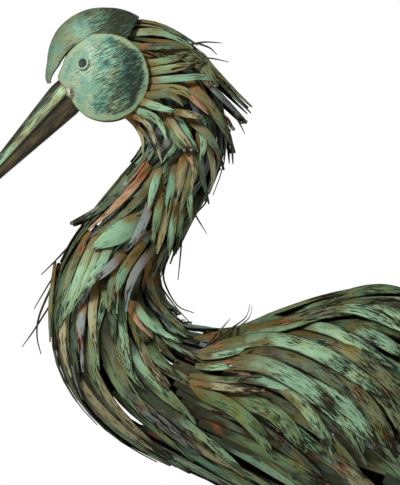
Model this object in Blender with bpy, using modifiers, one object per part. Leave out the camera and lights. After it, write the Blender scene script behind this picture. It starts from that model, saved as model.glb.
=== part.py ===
"""A standing garden heron of patinated sheet steel, feathered from crown to tail in comb-cut rows.

The bill points along -X and the tail along +X, and the figure stands on a low plate whose underside is Z = 0.
The pose, girth, stance and spacing of the rows are given in thousandths of the figure's height, read through
share().
Sheet, rod, plate and clearance sizes are real sizes of their own.
"""

import math
import random

import bmesh
import bpy
from mathutils import Matrix, Vector

# Height of the whole figure, in metres.
STATURE = 1.04

# Sheet and rod stock.
FEATHER_SHEET = 0.0008
HEAD_SHEET = 0.0015
LEG_ROD = 0.013
ANKLE_KNOB = 0.019
TOE_ROD = 0.009

# Clearances between pieces that are welded in the real figure.
WELD_GAP = 0.0004
ROW_GAP = 0.0011
DOME_STANDOFF = 0.0003

# Base plate.
PLATE_LENGTH = 0.34
PLATE_WIDTH = 0.24
PLATE_THICK = 0.006
PLATE_CORNER = 0.045
PLATE_EDGE = 0.0015
PLATE_CENTRE_X = 0.0
PLATE_CORNER_STEPS = 5

# Feathers: spacing of the rows in thousandths, width of a blade, and how far the tips stand off and scatter.
ROW_PITCH_NECK = 28
ROW_PITCH_BODY = 59.5
BLADE_WIDTH_NECK = 0.023
BLADE_WIDTH_BODY = 0.031
BLADE_SHOULDER = 0.80
TIP_FLICK = 0.005
FLICK_START = 50
FLICK_RUN = 80
TIP_SCATTER = (0.8, 1.25)
TAIL_REACH = 1.3
NECK_FLOOR = 700
BREAST_REAR = -150
SEED = 7

# Crest and tail fan.
CREST_PLUMES = 6
CREST_SPREAD = math.radians(120)
CREST_LIFT = 0.031
CREST_SWEEP = (0.0, 0.36, 0.70)
CREST_GATHER = 0.8
TAIL_FAN_BLADES = 6
TAIL_FAN_LENGTH = 0.165
TAIL_FAN_ARCH = 0.010
TAIL_FAN_ROUNDING = 0.16

# Head. The crown plate's angles are measured up from the tail's side of the cheek's middle.
CHEEK_RADIUS = 0.048
CHEEK_DOME = 0.017
CHEEK_RINGS = 4
CHEEK_STEPS = 24
CHEEK_FRONT_Y = 0.017
CHEEK_BACK_Y = 0.038
# How far the rim reaches at each angle, against its round. It draws out to a corner above the bill.
CHEEK_OUTLINE = (
    (0, 1.0), (90, 1.0), (105, 1.04), (135, 1.10), (165, 1.10), (180, 1.20), (195, 0.98), (210, 0.965),
    (240, 1.0), (360, 1.0),
)
CHEEK_CORNER = math.radians(180)
EYE_RING = 0.0060
EYE_WIRE = 0.0018
RIVET_RADIUS = 0.0055
RIVET_HEIGHT = 0.0030
BILL_LENGTH = 0.190
BILL_ROOT_WIDTH = 0.031
BILL_ROOT_DEPTH = 0.0385
BILL_PARTING = 0.0012
BILL_PROFILE = ((-1.0, 0.0), (-0.72, 0.62), (0.0, 1.0), (0.72, 0.62), (1.0, 0.0))
BILL_TAPER = ((-0.16, 0.86), (0.0, 1.0), (0.5, 0.52), (1.0, 0.04))
CROWN_FRONT = math.radians(185)
CROWN_REAR = math.radians(62)
CROWN_CLEARANCE = 0.0045
CROWN_RISE = 0.0250
CROWN_ARCH = (0.04, 0.60)
CROWN_FULLNESS = (0.06, 0.66)
CROWN_SPANS = 7
CROWN_COLUMNS = 4

# Legs: the stance and the joints' places in thousandths.
STANCE_WIDTH = 91
STRIDE = 58
HIP_HEIGHT = 505
ANKLE_SETBACK = 42
ANKLE_HEIGHT = 265
ANKLE_SWELL_ABOVE = 0.16
ANKLE_SWELL_BELOW = 0.13
TOE_LENGTH = 0.088
HIND_TOE_LENGTH = 0.050
TOE_SPREAD = math.radians(36)
KNUCKLE_PLACE = 0.45

# Centre line from inside the head to the tail, with the half depth and half width of the body there,
# all in thousandths of the stature: (along X, height, half depth, half width).
CENTRE_LINE = (
    (-271, 932, 30, 12),
    (-237, 929, 36, 19),
    (-206, 913, 39, 25),
    (-185, 886, 39, 30),
    (-181, 851, 38, 35),
    (-195, 818, 38, 38),
    (-216, 788, 40, 40),
    (-238, 755, 43, 43),
    (-258, 721, 46, 47),
    (-264, 687, 51, 53),
    (-253, 645, 62, 61),
    (-219, 606, 64, 73),
    (-158, 584, 72, 84),
    (-79, 573, 93, 94),
    (6, 571, 116, 99),
    (90, 562, 109, 93),
    (175, 536, 78, 77),
    (249, 507, 45, 58),
    (314, 479, 19, 40),
)
CHEEK_CENTRE = (-262, 922)
EYE_PLACE = (-24, 17)
RIVET_PLACE = (-38, -15)
BILL_ROOT = (-307, 899)
BILL_SLOPE = math.radians(46.9)

COLOURS = {
    "verdigris": ((0.20, 0.36, 0.28), 0.62, 0.35),
    "rust": ((0.24, 0.13, 0.06), 0.70, 0.35),
    "bill": ((0.16, 0.15, 0.08), 0.60, 0.35),
    "rod": ((0.13, 0.12, 0.08), 0.60, 0.45),
    "plate": ((0.10, 0.10, 0.08), 0.65, 0.45),
}


def share(thousandths):
    """A length given in thousandths of the stature, in metres."""
    return STATURE * thousandths / 1000


def clear_scene():
    for item in list(bpy.data.objects):
        bpy.data.objects.remove(item, do_unlink=True)


def new_collection(name):
    collection = bpy.data.collections.new(name)
    bpy.context.scene.collection.children.link(collection)
    return collection


def new_material(name):
    colour, roughness, metallic = COLOURS[name]
    material = bpy.data.materials.new(name)
    material.use_nodes = True
    shader = material.node_tree.nodes["Principled BSDF"]
    shader.inputs["Base Color"].default_value = (*colour, 1)
    shader.inputs["Roughness"].default_value = roughness
    shader.inputs["Metallic"].default_value = metallic
    material.diffuse_color = (*colour, 1)
    return material


def add_object(name, data, material):
    piece = bpy.data.objects.new(name, data)
    piece.data.materials.append(material)
    parts.objects.link(piece)
    return piece


def mesh_piece(name, shape, material):
    """An object made from a bmesh, which is freed."""
    data = bpy.data.meshes.new(name)
    shape.to_mesh(data)
    shape.free()
    return add_object(name, data, material)


def thicken(piece, thickness, offset=0.0):
    solid = piece.modifiers.new("sheet", "SOLIDIFY")
    solid.thickness = thickness
    solid.offset = offset
    solid.use_even_offset = True
    return solid


def smooth(piece, angle=40):
    piece.data.shade_smooth()
    piece.data.set_sharp_from_angle(angle=math.radians(angle))


def between(low, high, amount):
    return low + (high - low) * amount


def catmull_rom(before, start, end, after, amount):
    """A value on the smooth curve through four evenly stepped ones, between the middle two."""
    return 0.5 * (
        2 * start
        + (end - before) * amount
        + (2 * before - 5 * start + 4 * end - after) * amount**2
        + (3 * start - before - 3 * end + after) * amount**3
    )


class CentreLine:
    """The figure's centre line by arc length, with a section frame and the body's half sizes."""

    STEPS = 24

    def __init__(self, stations):
        padded = (stations[0], *stations, stations[-1])
        self.samples = []
        for index in range(len(stations) - 1):
            four = padded[index : index + 4]
            for step in range(self.STEPS):
                self.samples.append(self.sample(four, step / self.STEPS))
        self.samples.append(tuple(share(value) for value in stations[-1]))
        self.lengths = [0.0]
        for first, second in zip(self.samples, self.samples[1:]):
            run = math.hypot(second[0] - first[0], second[1] - first[1])
            self.lengths.append(self.lengths[-1] + run)

    @staticmethod
    def sample(four, amount):
        return tuple(share(catmull_rom(*values, amount)) for values in zip(*four))

    @property
    def length(self):
        return self.lengths[-1]

    def at(self, distance):
        """X, Z, half depth and half width at a distance along the line, straight on past its end."""
        if distance >= self.length:
            end, last = self.samples[-1], self.samples[-2]
            over = (distance - self.length) / (self.lengths[-1] - self.lengths[-2])
            place = [end[axis] + (end[axis] - last[axis]) * over for axis in (0, 1)]
            return (*place, end[2], end[3])
        index = 0
        while self.lengths[index + 1] < distance:
            index += 1
        span = self.lengths[index + 1] - self.lengths[index]
        amount = (distance - self.lengths[index]) / span
        return tuple(between(a, b, amount) for a, b in zip(self.samples[index], self.samples[index + 1]))

    def point(self, distance, turn, rise):
        """A point at an angle from the back, a height above the body's own surface."""
        step = 0.004
        x, z, depth, width = self.at(distance)
        ahead = self.at(distance + step)
        behind = self.at(max(distance - step, 0.0))
        along = Vector((ahead[0] - behind[0], 0, ahead[1] - behind[1])).normalized()
        back = Vector((-along.z, 0, along.x))
        out = back * (depth + rise) * math.cos(turn) + Vector((0, 1, 0)) * (width + rise) * math.sin(turn)
        return Vector((x, 0, z)) + out


def fullness(depth):
    """0 where the body is as thin as the neck, 1 at its fullest."""
    thinnest = min(station[2] for station in CENTRE_LINE[:-2])
    fullest = max(station[2] for station in CENTRE_LINE)
    return min(max((depth - share(thinnest)) / (share(fullest) - share(thinnest)), 0.0), 1.0)


def row_places(line):
    """Distances along the centre line of the rows that every feather starts, bends and ends on."""
    places = [0.0]
    while places[-1] < line.length:
        depth = line.at(places[-1])[2]
        places.append(places[-1] + share(between(ROW_PITCH_NECK, ROW_PITCH_BODY, fullness(depth))))
    return places


def blades_round(line, place):
    """How many blades go round the body at a place."""
    depth, width = line.at(place)[2:]
    girth = math.tau * math.sqrt((depth**2 + width**2) / 2)
    return max(round(girth / between(BLADE_WIDTH_NECK, BLADE_WIDTH_BODY, fullness(depth))), 6)


def row_rise(line, place, count):
    """How far each row stands above the one it covers: its sheet, the flats of its blades and a gap."""
    radius = max(line.at(place)[2:])
    flats = radius * (1 - math.cos(math.pi / count))
    return FEATHER_SHEET + flats + ROW_GAP


def tip_flick(place):
    """How far a tip bends out: not at all inside the head, and fully from the nape on."""
    return TIP_FLICK * min(max((place - share(FLICK_START)) / share(FLICK_RUN), 0.0), 1.0)


def comb_sheet(name, count, place, tip, material):
    """A flat sheet cut like a comb into count pointed blades, then bent to where place and tip put it.

    place(blade, side, step) gives a corner at a blade's left or right side on steps 0, 1 and 2, where
    neighbours share their corners up to step 1, and tip(blade) gives the point that ends the blade.
    """
    steps = 3
    shape = bmesh.new()
    for blade in range(count):
        grid = bmesh.ops.create_grid(shape, x_segments=1, y_segments=steps, size=1)
        for corner in grid["verts"]:
            step = round((corner.co.y + 1) / 2 * steps)
            side = round(corner.co.x)
            corner.co = tip(blade) if step == steps else place(blade, side, step)
    bmesh.ops.remove_doubles(shape, verts=shape.verts, dist=0.00001)
    bmesh.ops.recalc_face_normals(shape, faces=shape.faces)
    piece = mesh_piece(name, shape, material)
    thicken(piece, FEATHER_SHEET)
    return piece


def feather_row(name, line, rows, first, chance, material):
    """A comb sheet rolled round the body: a band, then blades that narrow to points."""
    count = blades_round(line, rows[first + 1])
    half = math.pi / count
    rises = [row_rise(line, rows[first + step], count) * step for step in range(4)]
    reach = TAIL_REACH if first + 4 >= len(rows) else 1.0
    tips = []
    for blade in range(count):
        turn = (2 * blade + first % 2) * half + half * chance.uniform(-0.5, 0.5)
        distance = between(rows[first + 2], rows[first + 3], reach * chance.uniform(*TIP_SCATTER))
        rise = rises[3] + tip_flick(rows[first]) * chance.uniform(0.5, 1.5)
        tips.append(line.point(distance, turn, rise))

    def place(blade, side, step):
        shoulder = BLADE_SHOULDER if step == 2 else 1.0
        turn = (2 * blade + first % 2 + side * shoulder) * half
        return line.point(rows[first + step], turn, rises[step])

    return comb_sheet(name, count, place, tips.__getitem__, material)


def crest_plumes(name, line, rows, chance, material):
    """Long plumes over the nape, welded on the first row and swept clear of those below."""
    seat = row_rise(line, rows[1], blades_round(line, rows[1])) + FEATHER_SHEET + 2 * WELD_GAP
    lifts = [between(seat, CREST_LIFT, amount) for amount in CREST_SWEEP]
    half = CREST_SPREAD / CREST_PLUMES / 2
    tips = []
    for plume in range(CREST_PLUMES):
        turn = (2 * plume + 1 - CREST_PLUMES) * half * CREST_GATHER
        distance = rows[4] + (rows[5] - rows[4]) * chance.uniform(-0.3, 0.5)
        tips.append(line.point(distance, turn, CREST_LIFT * chance.uniform(0.9, 1.1)))

    def place(plume, side, step):
        shoulder = BLADE_SHOULDER if step == 2 else 1.0
        turn = (2 * plume + 1 - CREST_PLUMES + side * shoulder) * half
        return line.point(rows[1 + step], turn, lifts[step])

    return comb_sheet(name, CREST_PLUMES, place, tips.__getitem__, material)


def tail_fan(name, line, rows, material):
    """A flat comb of long feathers that fills the open end of the tail, seated against its sides."""
    start = rows[-4]
    inner = math.cos(math.pi / blades_round(line, rows[-3]))

    def half_width(distance):
        return line.at(distance)[3] * inner - FEATHER_SHEET / 2 - WELD_GAP

    def place(blade, side, step):
        distance = start + TAIL_FAN_LENGTH * step / 3
        shoulder = BLADE_SHOULDER if step == 2 else 1.0
        across = (2 * blade + 1 - TAIL_FAN_BLADES + side * shoulder) / TAIL_FAN_BLADES
        width = half_width(distance) - FEATHER_SHEET * step
        return level_point(line, distance, across * width, 1 - across**2)

    def tip(blade):
        across = (2 * blade + 1 - TAIL_FAN_BLADES) / TAIL_FAN_BLADES
        distance = start + TAIL_FAN_LENGTH * (1 - TAIL_FAN_ROUNDING * across**2)
        return level_point(line, distance, across * half_width(distance), 1 - across**2)

    return comb_sheet(name, TAIL_FAN_BLADES, place, tip, material)


def level_point(line, distance, across, arch):
    """A point level with the centre line, off to one side, arched a little towards the back."""
    middle = line.point(distance, math.pi / 2, -line.at(distance)[3])
    back = (line.point(distance, 0, 0) - middle).normalized()
    return middle + Vector((0, across, 0)) + back * TAIL_FAN_ARCH * arch


def all_feather_rows(line, material):
    """Rows from the head to the tail, each lying over the roots of the next."""
    rows = row_places(line)
    chance = random.Random(SEED)
    pieces = []
    counts = {}
    for first in range(len(rows) - 3):
        x, z = line.at(rows[first])[:2]
        if z > share(NECK_FLOOR):
            region = "neck_feathers"
        elif x < share(BREAST_REAR):
            region = "breast_feathers"
        elif first + 4 < len(rows) - 2:
            region = "body_feathers"
        else:
            region = "tail_feathers"
        counts[region] = counts.get(region, 0) + 1
        name = f"{region}_{counts[region]:02d}"
        pieces.append(feather_row(name, line, rows, first, chance, material))
    crest_plumes("crest_plumes", line, rows, chance, material)
    tail_fan("tail_fan", line, rows, material)
    return pieces


def cheek_frame(side):
    """The place and turn of a cheek: its flat rim in local XY, its dome out along local Z."""
    lean = math.asin((CHEEK_BACK_Y - CHEEK_FRONT_Y) / (2 * CHEEK_RADIUS))
    middle_y = side * (CHEEK_FRONT_Y + CHEEK_BACK_Y) / 2
    out = Vector((-math.sin(lean), side * math.cos(lean), 0))
    up = Vector((0, 0, 1))
    across = up.cross(out)
    turn = Matrix((across, up, out)).transposed().to_4x4()
    place = Vector((share(CHEEK_CENTRE[0]), middle_y, share(CHEEK_CENTRE[1])))
    return Matrix.Translation(place) @ turn


def dome_ball():
    """Radius of the ball that the cheek's dome is a cap of."""
    return (CHEEK_RADIUS**2 + CHEEK_DOME**2) / (2 * CHEEK_DOME)


def dome_height(radius):
    """Height of the cheek's outer face above its rim, at a distance from its middle."""
    ball = dome_ball()
    return math.sqrt(ball**2 - radius**2) - (ball - CHEEK_DOME)


def rim_reach(angle):
    """How far the cheek's rim reaches at an angle up from the tail's side, against its round."""
    turned = math.degrees(angle) % 360
    for (low, near), (high, far) in zip(CHEEK_OUTLINE, CHEEK_OUTLINE[1:]):
        if turned <= high:
            return between(near, far, (turned - low) / (high - low))


def cheek(name, side, material):
    """A domed sheet, a cap of a ball, nearly round but for the corner above the bill."""
    shape = bmesh.new()
    top = shape.verts.new((0, 0, CHEEK_DOME))
    rings = []
    for ring in range(1, CHEEK_RINGS):
        amount = ring / (CHEEK_RINGS - 1)
        corners = []
        for step in range(CHEEK_STEPS):
            angle = math.tau * step / CHEEK_STEPS
            radius = CHEEK_RADIUS * amount * between(1, rim_reach(angle), amount)
            across = -side * radius * math.cos(angle)
            corners.append(shape.verts.new((across, radius * math.sin(angle), dome_height(radius))))
        rings.append(corners + corners[:1])
    for first, second in zip(rings[0], rings[0][1:]):
        shape.faces.new((top, first, second))
    loft(shape, rings)
    piece = mesh_piece(name, shape, material)
    faces_out = piece.data.polygons[0].normal.z > 0
    solid = thicken(piece, HEAD_SHEET, offset=-1.0 if faces_out else 1.0)
    solid.use_even_offset = False
    piece.matrix_world = cheek_frame(side)
    smooth(piece)
    return piece


def dome_seat(side, place, standoff):
    """Where a small piece sits on a cheek: its origin on the dome, its Z along the dome's normal."""
    offset = Vector((-side * share(place[0]), share(place[1])))
    height = dome_height(offset.length)
    normal = Vector((offset.x, offset.y, height + dome_ball() - CHEEK_DOME)).normalized()
    origin = Vector((offset.x, offset.y, height)) + normal * standoff
    turn = Vector((0, 0, 1)).rotation_difference(normal).to_matrix().to_4x4()
    return cheek_frame(side) @ Matrix.Translation(origin) @ turn


def eye_ring(name, side, material):
    bpy.ops.mesh.primitive_torus_add(
        major_radius=EYE_RING, minor_radius=EYE_WIRE, major_segments=12, minor_segments=6
    )
    ring = bpy.context.object
    ring.name = name
    ring.data.name = name
    ring.data.materials.append(material)
    for collection in list(ring.users_collection):
        collection.objects.unlink(ring)
    parts.objects.link(ring)
    bend = EYE_RING**2 / (2 * CHEEK_RADIUS)
    ring.matrix_world = dome_seat(side, EYE_PLACE, EYE_WIRE + DOME_STANDOFF + bend)
    smooth(ring)
    return ring


def rivet(name, side, material):
    """A low round rivet head that holds the cheek to the bill."""
    shape = bmesh.new()
    top = RIVET_RADIUS * 0.55
    bmesh.ops.create_cone(
        shape, cap_ends=True, segments=10, radius1=RIVET_RADIUS, radius2=top, depth=RIVET_HEIGHT
    )
    piece = mesh_piece(name, shape, material)
    bend = RIVET_RADIUS**2 / (2 * CHEEK_RADIUS)
    piece.matrix_world = dome_seat(side, RIVET_PLACE, RIVET_HEIGHT / 2 + DOME_STANDOFF + bend)
    smooth(piece, 50)
    return piece


def loft(shape, strips):
    """Faces between each strip of corners and the next."""
    for near, far in zip(strips, strips[1:]):
        for index in range(len(near) - 1):
            shape.faces.new((near[index], near[index + 1], far[index + 1], far[index]))
    bmesh.ops.recalc_face_normals(shape, faces=shape.faces)


def mandible(name, top, material):
    """Half of the bill: a sheet folded to a rounded V that tapers to the bill's point."""
    fold = 1 if top else -1
    depth = BILL_ROOT_DEPTH / 2 - BILL_PARTING / 2
    lift = BILL_PARTING / 2 + HEAD_SHEET / 2
    along = Vector((-math.cos(BILL_SLOPE), 0, -math.sin(BILL_SLOPE)))
    ridge = Vector((-math.sin(BILL_SLOPE), 0, math.cos(BILL_SLOPE))) * fold
    root = Vector((share(BILL_ROOT[0]), 0, share(BILL_ROOT[1])))
    shape = bmesh.new()
    strips = []
    for distance, size in BILL_TAPER:
        middle = root + along * BILL_LENGTH * distance
        strip = []
        for across, rise in BILL_PROFILE:
            place = middle + ridge * (lift + depth * size * rise)
            place.y = across * BILL_ROOT_WIDTH / 2 * size
            strip.append(shape.verts.new(place))
        strips.append(strip)
    loft(shape, strips)
    piece = mesh_piece(name, shape, material)
    thicken(piece, HEAD_SHEET)
    return piece


def crown_plate(name, material):
    """An arched leaf over the crown: its edges follow the cheeks' rims and its ridge stands above."""
    centre = Vector((share(CHEEK_CENTRE[0]), 0, share(CHEEK_CENTRE[1])))
    fullest = (CHEEK_FRONT_Y + CHEEK_BACK_Y) / 2
    shape = bmesh.new()
    strips = []
    for span in range(CROWN_SPANS + 1):
        amount = span / CROWN_SPANS
        angle = between(CROWN_FRONT, CROWN_REAR, amount)
        radial = Vector((math.cos(angle), 0, math.sin(angle)))
        half_width = fullest * math.sin(math.pi * between(*CROWN_FULLNESS, amount))
        rise = CROWN_RISE * math.sin(math.pi * between(*CROWN_ARCH, amount))
        edge = CHEEK_RADIUS * rim_reach(min(angle, CHEEK_CORNER)) + CROWN_CLEARANCE
        strip = []
        for column in range(CROWN_COLUMNS + 1):
            across = 2 * column / CROWN_COLUMNS - 1
            place = centre + radial * (edge + rise * (1 - across**2))
            place.y = across * half_width
            strip.append(shape.verts.new(place))
        strips.append(strip)
    loft(shape, strips)
    piece = mesh_piece(name, shape, material)
    thicken(piece, HEAD_SHEET)
    return piece


def rod(name, points, radii, material):
    """A bent round rod along given points, closed at both ends."""
    data = bpy.data.curves.new(name, "CURVE")
    data.dimensions = "3D"
    data.bevel_depth = 1.0
    data.bevel_resolution = 2
    data.use_fill_caps = True
    spline = data.splines.new("POLY")
    spline.points.add(len(points) - 1)
    for knot, place, radius in zip(spline.points, points, radii):
        knot.co = (*place, 1)
        knot.radius = radius
    return add_object(name, data, material)


def as_mesh(piece):
    """The curve turned to a closed mesh object of the same name."""
    name = piece.name
    bpy.context.view_layer.update()
    evaluated = piece.evaluated_get(bpy.context.evaluated_depsgraph_get())
    data = bpy.data.meshes.new_from_object(evaluated)
    place = piece.matrix_world.copy()
    bpy.data.objects.remove(piece, do_unlink=True)
    shape = bmesh.new()
    shape.from_mesh(data)
    bmesh.ops.remove_doubles(shape, verts=shape.verts, dist=0.00001)
    shape.to_mesh(data)
    shape.free()
    data.name = name
    solid = bpy.data.objects.new(name, data)
    solid.matrix_world = place
    parts.objects.link(solid)
    return solid


def join(main, others):
    """Fuse solids into one body, with the others kept as hidden guides."""
    for other in others:
        fused = main.modifiers.new(other.name, "BOOLEAN")
        fused.operation = "UNION"
        fused.solver = "EXACT"
        fused.object = other
        make_cutter(other)


def make_cutter(piece):
    parts.objects.unlink(piece)
    cutters.objects.link(piece)
    piece.hide_render = True
    piece.display_type = "WIRE"


def leg_points(side):
    """Hip inside the belly, ankle knob behind, and the foot on the plate."""
    foot_x = PLATE_CENTRE_X + side * share(STRIDE) / 2
    y = side * share(STANCE_WIDTH) / 2
    sole = PLATE_THICK + WELD_GAP + TOE_ROD / 2
    hip = Vector((foot_x, y, share(HIP_HEIGHT)))
    ankle = Vector((foot_x + share(ANKLE_SETBACK), y, share(ANKLE_HEIGHT)))
    foot = Vector((foot_x, y, sole))
    return hip, ankle, foot


def leg(name, side, material):
    """One leg of bent rod with a swollen ankle, three toes ahead and one behind, fused."""
    hip, ankle, foot = leg_points(side)
    rod_radius = LEG_ROD / 2
    above = ankle.lerp(hip, ANKLE_SWELL_ABOVE)
    below = ankle.lerp(foot, ANKLE_SWELL_BELOW)
    points = (hip, above, ankle, below, foot)
    radii = (rod_radius, rod_radius, ANKLE_KNOB / 2, rod_radius, rod_radius)
    shank = as_mesh(rod(name, points, radii, material))
    toes = []
    headings = (math.pi - TOE_SPREAD, math.pi, math.pi + TOE_SPREAD, 0.0)
    for index, heading in enumerate(headings):
        length = HIND_TOE_LENGTH if heading == 0.0 else TOE_LENGTH
        ahead = Vector((math.cos(heading), math.sin(heading), 0))
        knuckle = foot + ahead * length * KNUCKLE_PLACE + Vector((0, 0, TOE_ROD * 0.5))
        root = foot + ahead * TOE_ROD * (0.2 + 0.07 * index) + Vector((0, 0, TOE_ROD * 0.03 * index))
        toe_points = (root, knuckle, foot + ahead * length)
        toe_radii = (TOE_ROD / 2, TOE_ROD / 2, TOE_ROD / 4)
        place = f"{name}_toe_{index + 1}"
        toes.append(as_mesh(rod(place, toe_points, toe_radii, material)))
    join(shank, toes)
    smooth(shank)
    return shank


def pierce(pieces, side):
    """Cut the leg's hole, with its weld gap, through every feather row that it passes."""
    hip, ankle, _ = leg_points(side)
    name = "hole_right" if side > 0 else "hole_left"
    radius = LEG_ROD / 2 + WELD_GAP
    beyond = hip + (hip - ankle).normalized() * LEG_ROD
    cutter = as_mesh(rod(name, (beyond, ankle), (radius, radius), material_of["rod"]))
    make_cutter(cutter)
    for piece in pieces:
        cut = piece.modifiers.new(name, "BOOLEAN")
        cut.operation = "DIFFERENCE"
        cut.solver = "EXACT"
        cut.object = cutter


def crosses(piece, side):
    """Whether a leg's upper rod comes within a feather row's own box."""
    hip, ankle, _ = leg_points(side)
    corners = [piece.matrix_world @ Vector(corner) for corner in piece.bound_box]
    low = min(corner.x for corner in corners) - LEG_ROD
    high = max(corner.x for corner in corners) + LEG_ROD
    return low < hip.x < high or low < ankle.x < high


def base_plate(name, material):
    """A flat plate with round corners and lightly broken edges."""
    data = bpy.data.curves.new(name, "CURVE")
    data.dimensions = "2D"
    data.fill_mode = "BOTH"
    data.extrude = PLATE_THICK / 2
    outline = []
    for corner, (sign_x, sign_y) in enumerate(((1, 1), (-1, 1), (-1, -1), (1, -1))):
        middle_x = sign_x * (PLATE_LENGTH / 2 - PLATE_CORNER)
        middle_y = sign_y * (PLATE_WIDTH / 2 - PLATE_CORNER)
        for step in range(PLATE_CORNER_STEPS + 1):
            angle = math.pi / 2 * (corner + step / PLATE_CORNER_STEPS)
            x = middle_x + PLATE_CORNER * math.cos(angle)
            y = middle_y + PLATE_CORNER * math.sin(angle)
            outline.append((x, y))
    spline = data.splines.new("POLY")
    spline.points.add(len(outline) - 1)
    for knot, (x, y) in zip(spline.points, outline):
        knot.co = (x, y, 0, 1)
    spline.use_cyclic_u = True
    flat = add_object(name, data, material)
    flat.location = (PLATE_CENTRE_X, 0, PLATE_THICK / 2)
    plate = as_mesh(flat)
    edge = plate.modifiers.new("edge", "BEVEL")
    edge.width = PLATE_EDGE
    edge.segments = 1
    edge.limit_method = "ANGLE"
    edge.angle_limit = math.radians(60)
    return plate


clear_scene()
parts = new_collection("heron")
cutters = new_collection("cutters")
material_of = {name: new_material(name) for name in COLOURS}

centre_line = CentreLine(CENTRE_LINE)
feather_rows = all_feather_rows(centre_line, material_of["verdigris"])

for side, hand in ((-1, "left"), (1, "right")):
    cheek(f"{hand}_cheek", side, material_of["verdigris"])
    eye_ring(f"{hand}_eye_ring", side, material_of["verdigris"])
    rivet(f"{hand}_bill_rivet", side, material_of["rust"])
mandible("upper_bill", True, material_of["bill"])
mandible("lower_bill", False, material_of["bill"])
crown_plate("crown_plate", material_of["verdigris"])

base_plate("base_plate", material_of["plate"])
for side, hand in ((-1, "left"), (1, "right")):
    leg(f"{hand}_leg", side, material_of["rod"])
    pierce([row for row in feather_rows if crosses(row, side)], side)
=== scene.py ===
"""The looks of a garden heron of patinated sheet steel: its plumage of cut strips, head, legs and base."""

import math
import random

import bmesh
import bpy
import numpy as np
from mathutils import Matrix, Vector, noise


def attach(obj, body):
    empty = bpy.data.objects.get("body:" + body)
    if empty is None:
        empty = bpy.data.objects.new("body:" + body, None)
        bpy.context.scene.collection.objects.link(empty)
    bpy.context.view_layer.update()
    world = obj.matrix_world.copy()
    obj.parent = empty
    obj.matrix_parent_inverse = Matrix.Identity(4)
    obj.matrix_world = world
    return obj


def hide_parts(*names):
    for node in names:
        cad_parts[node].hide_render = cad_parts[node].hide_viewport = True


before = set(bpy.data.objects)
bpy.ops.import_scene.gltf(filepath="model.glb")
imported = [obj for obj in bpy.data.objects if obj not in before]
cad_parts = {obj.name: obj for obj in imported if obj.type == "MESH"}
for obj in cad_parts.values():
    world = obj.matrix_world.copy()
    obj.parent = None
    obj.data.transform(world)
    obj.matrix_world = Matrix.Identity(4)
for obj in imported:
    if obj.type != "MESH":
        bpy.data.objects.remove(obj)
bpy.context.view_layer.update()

# The photograph's scale: metres to a pixel, the pixel column over X = 0, and the height of its top edge.
PIXEL = 0.0011
PIXEL_OF_X0 = 354.5
TOP_EDGE = 1.045
PHOTO_SIZE = (400, 485)
CAMERA_DISTANCE = 5.0

# The figure, as it was built. Whole numbers, and the centre line's X, Z, half depth and half width at each of
# its stations from the bill to the tail, are thousandths of the stature. The rest is in metres.
STATURE = 1.04
FEATHER_SHEET = 0.0009
HEAD_SHEET = 0.0015
WELD_GAP = 0.0004
RELIEF_DEPTH = 0.0003
SIDES = ((-1, "left"), (1, "right"))
ROW_PITCH_NECK = 28
ROW_PITCH_BODY = 59.5
CENTRE_LINE = (
    (-271, 932, 30, 12),
    (-237, 929, 36, 19),
    (-206, 913, 39, 25),
    (-185, 886, 39, 30),
    (-181, 851, 38, 35),
    (-195, 818, 38, 38),
    (-216, 788, 40, 40),
    (-238, 755, 43, 43),
    (-258, 721, 46, 47),
    (-264, 687, 51, 53),
    (-253, 645, 62, 61),
    (-219, 606, 64, 73),
    (-158, 584, 72, 84),
    (-79, 573, 93, 94),
    (6, 571, 116, 99),
    (90, 562, 109, 93),
    (175, 536, 78, 77),
    (249, 507, 45, 58),
    (314, 479, 19, 40),
)

# Head.
CHEEK_RADIUS = 0.048
CHEEK_DOME = 0.017
CHEEK_FRONT_Y = 0.017
CHEEK_BACK_Y = 0.038
CHEEK_CENTRE = (-262, 922)
CHEEK_OUTLINE = (
    (0, 1.0), (90, 1.0), (105, 1.04), (135, 1.10), (165, 1.10), (180, 1.20), (195, 0.98), (210, 0.965),
    (240, 1.0), (360, 1.0),
)
CHEEK_CORNER = math.radians(180)
CHEEK_EDGE = 0.0004
DOME_BALL = (CHEEK_RADIUS**2 + CHEEK_DOME**2) / (2 * CHEEK_DOME)
EYE_PLACE = (-21.8, 14.4)
EYE_RING = 0.0060
EYE_WIRE = 0.0018
EYE_RISE = 1.3 * EYE_WIRE
TURNING_STEPS = 40
RIVET_PLACE = (-38, -15)
RIVET_RADIUS = 0.0055
RIVET_HEIGHT = 0.0030
WELD_LUMPS = (0.0020, 0.42)
DOME_STANDOFF = 0.0003
BILL_ROOT = (-307, 899)
BILL_SLOPE = math.radians(46.9)
BILL_LENGTH = 0.190
BILL_ROOT_WIDTH = 0.031
BILL_ROOT_DEPTH = 0.0385
BILL_PARTING = 0.0012
BILL_ROUNDNESS = 0.65
BILL_TUCK = 0.004
LOWER_BILL_WIDTH = 0.84
SHEET_EDGE = 0.0003
BILL_TAPER = ((-0.16, 0.86), (0.0, 1.0), (0.5, 0.52), (1.0, 0.04))
CROWN_FRONT = math.radians(185)
CROWN_REAR = math.radians(62)
CROWN_CLEARANCE = 0.0045
CROWN_RISE = 0.0250
CROWN_RISE_SHOWN = CROWN_RISE * 0.99
CROWN_ARCH = (0.04, 0.60)
CROWN_TUCK = 0.003
CROWN_TUCKED_BY = 0.42
CROWN_FULLNESS = (0.06, 0.66)
CROWN_TUCKED_WIDTH = 0.84
BEATEN_DENT = 0.016
BEATEN_DEPTH = 0.0004
HATCH_SLOPE = math.radians(-28)

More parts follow.
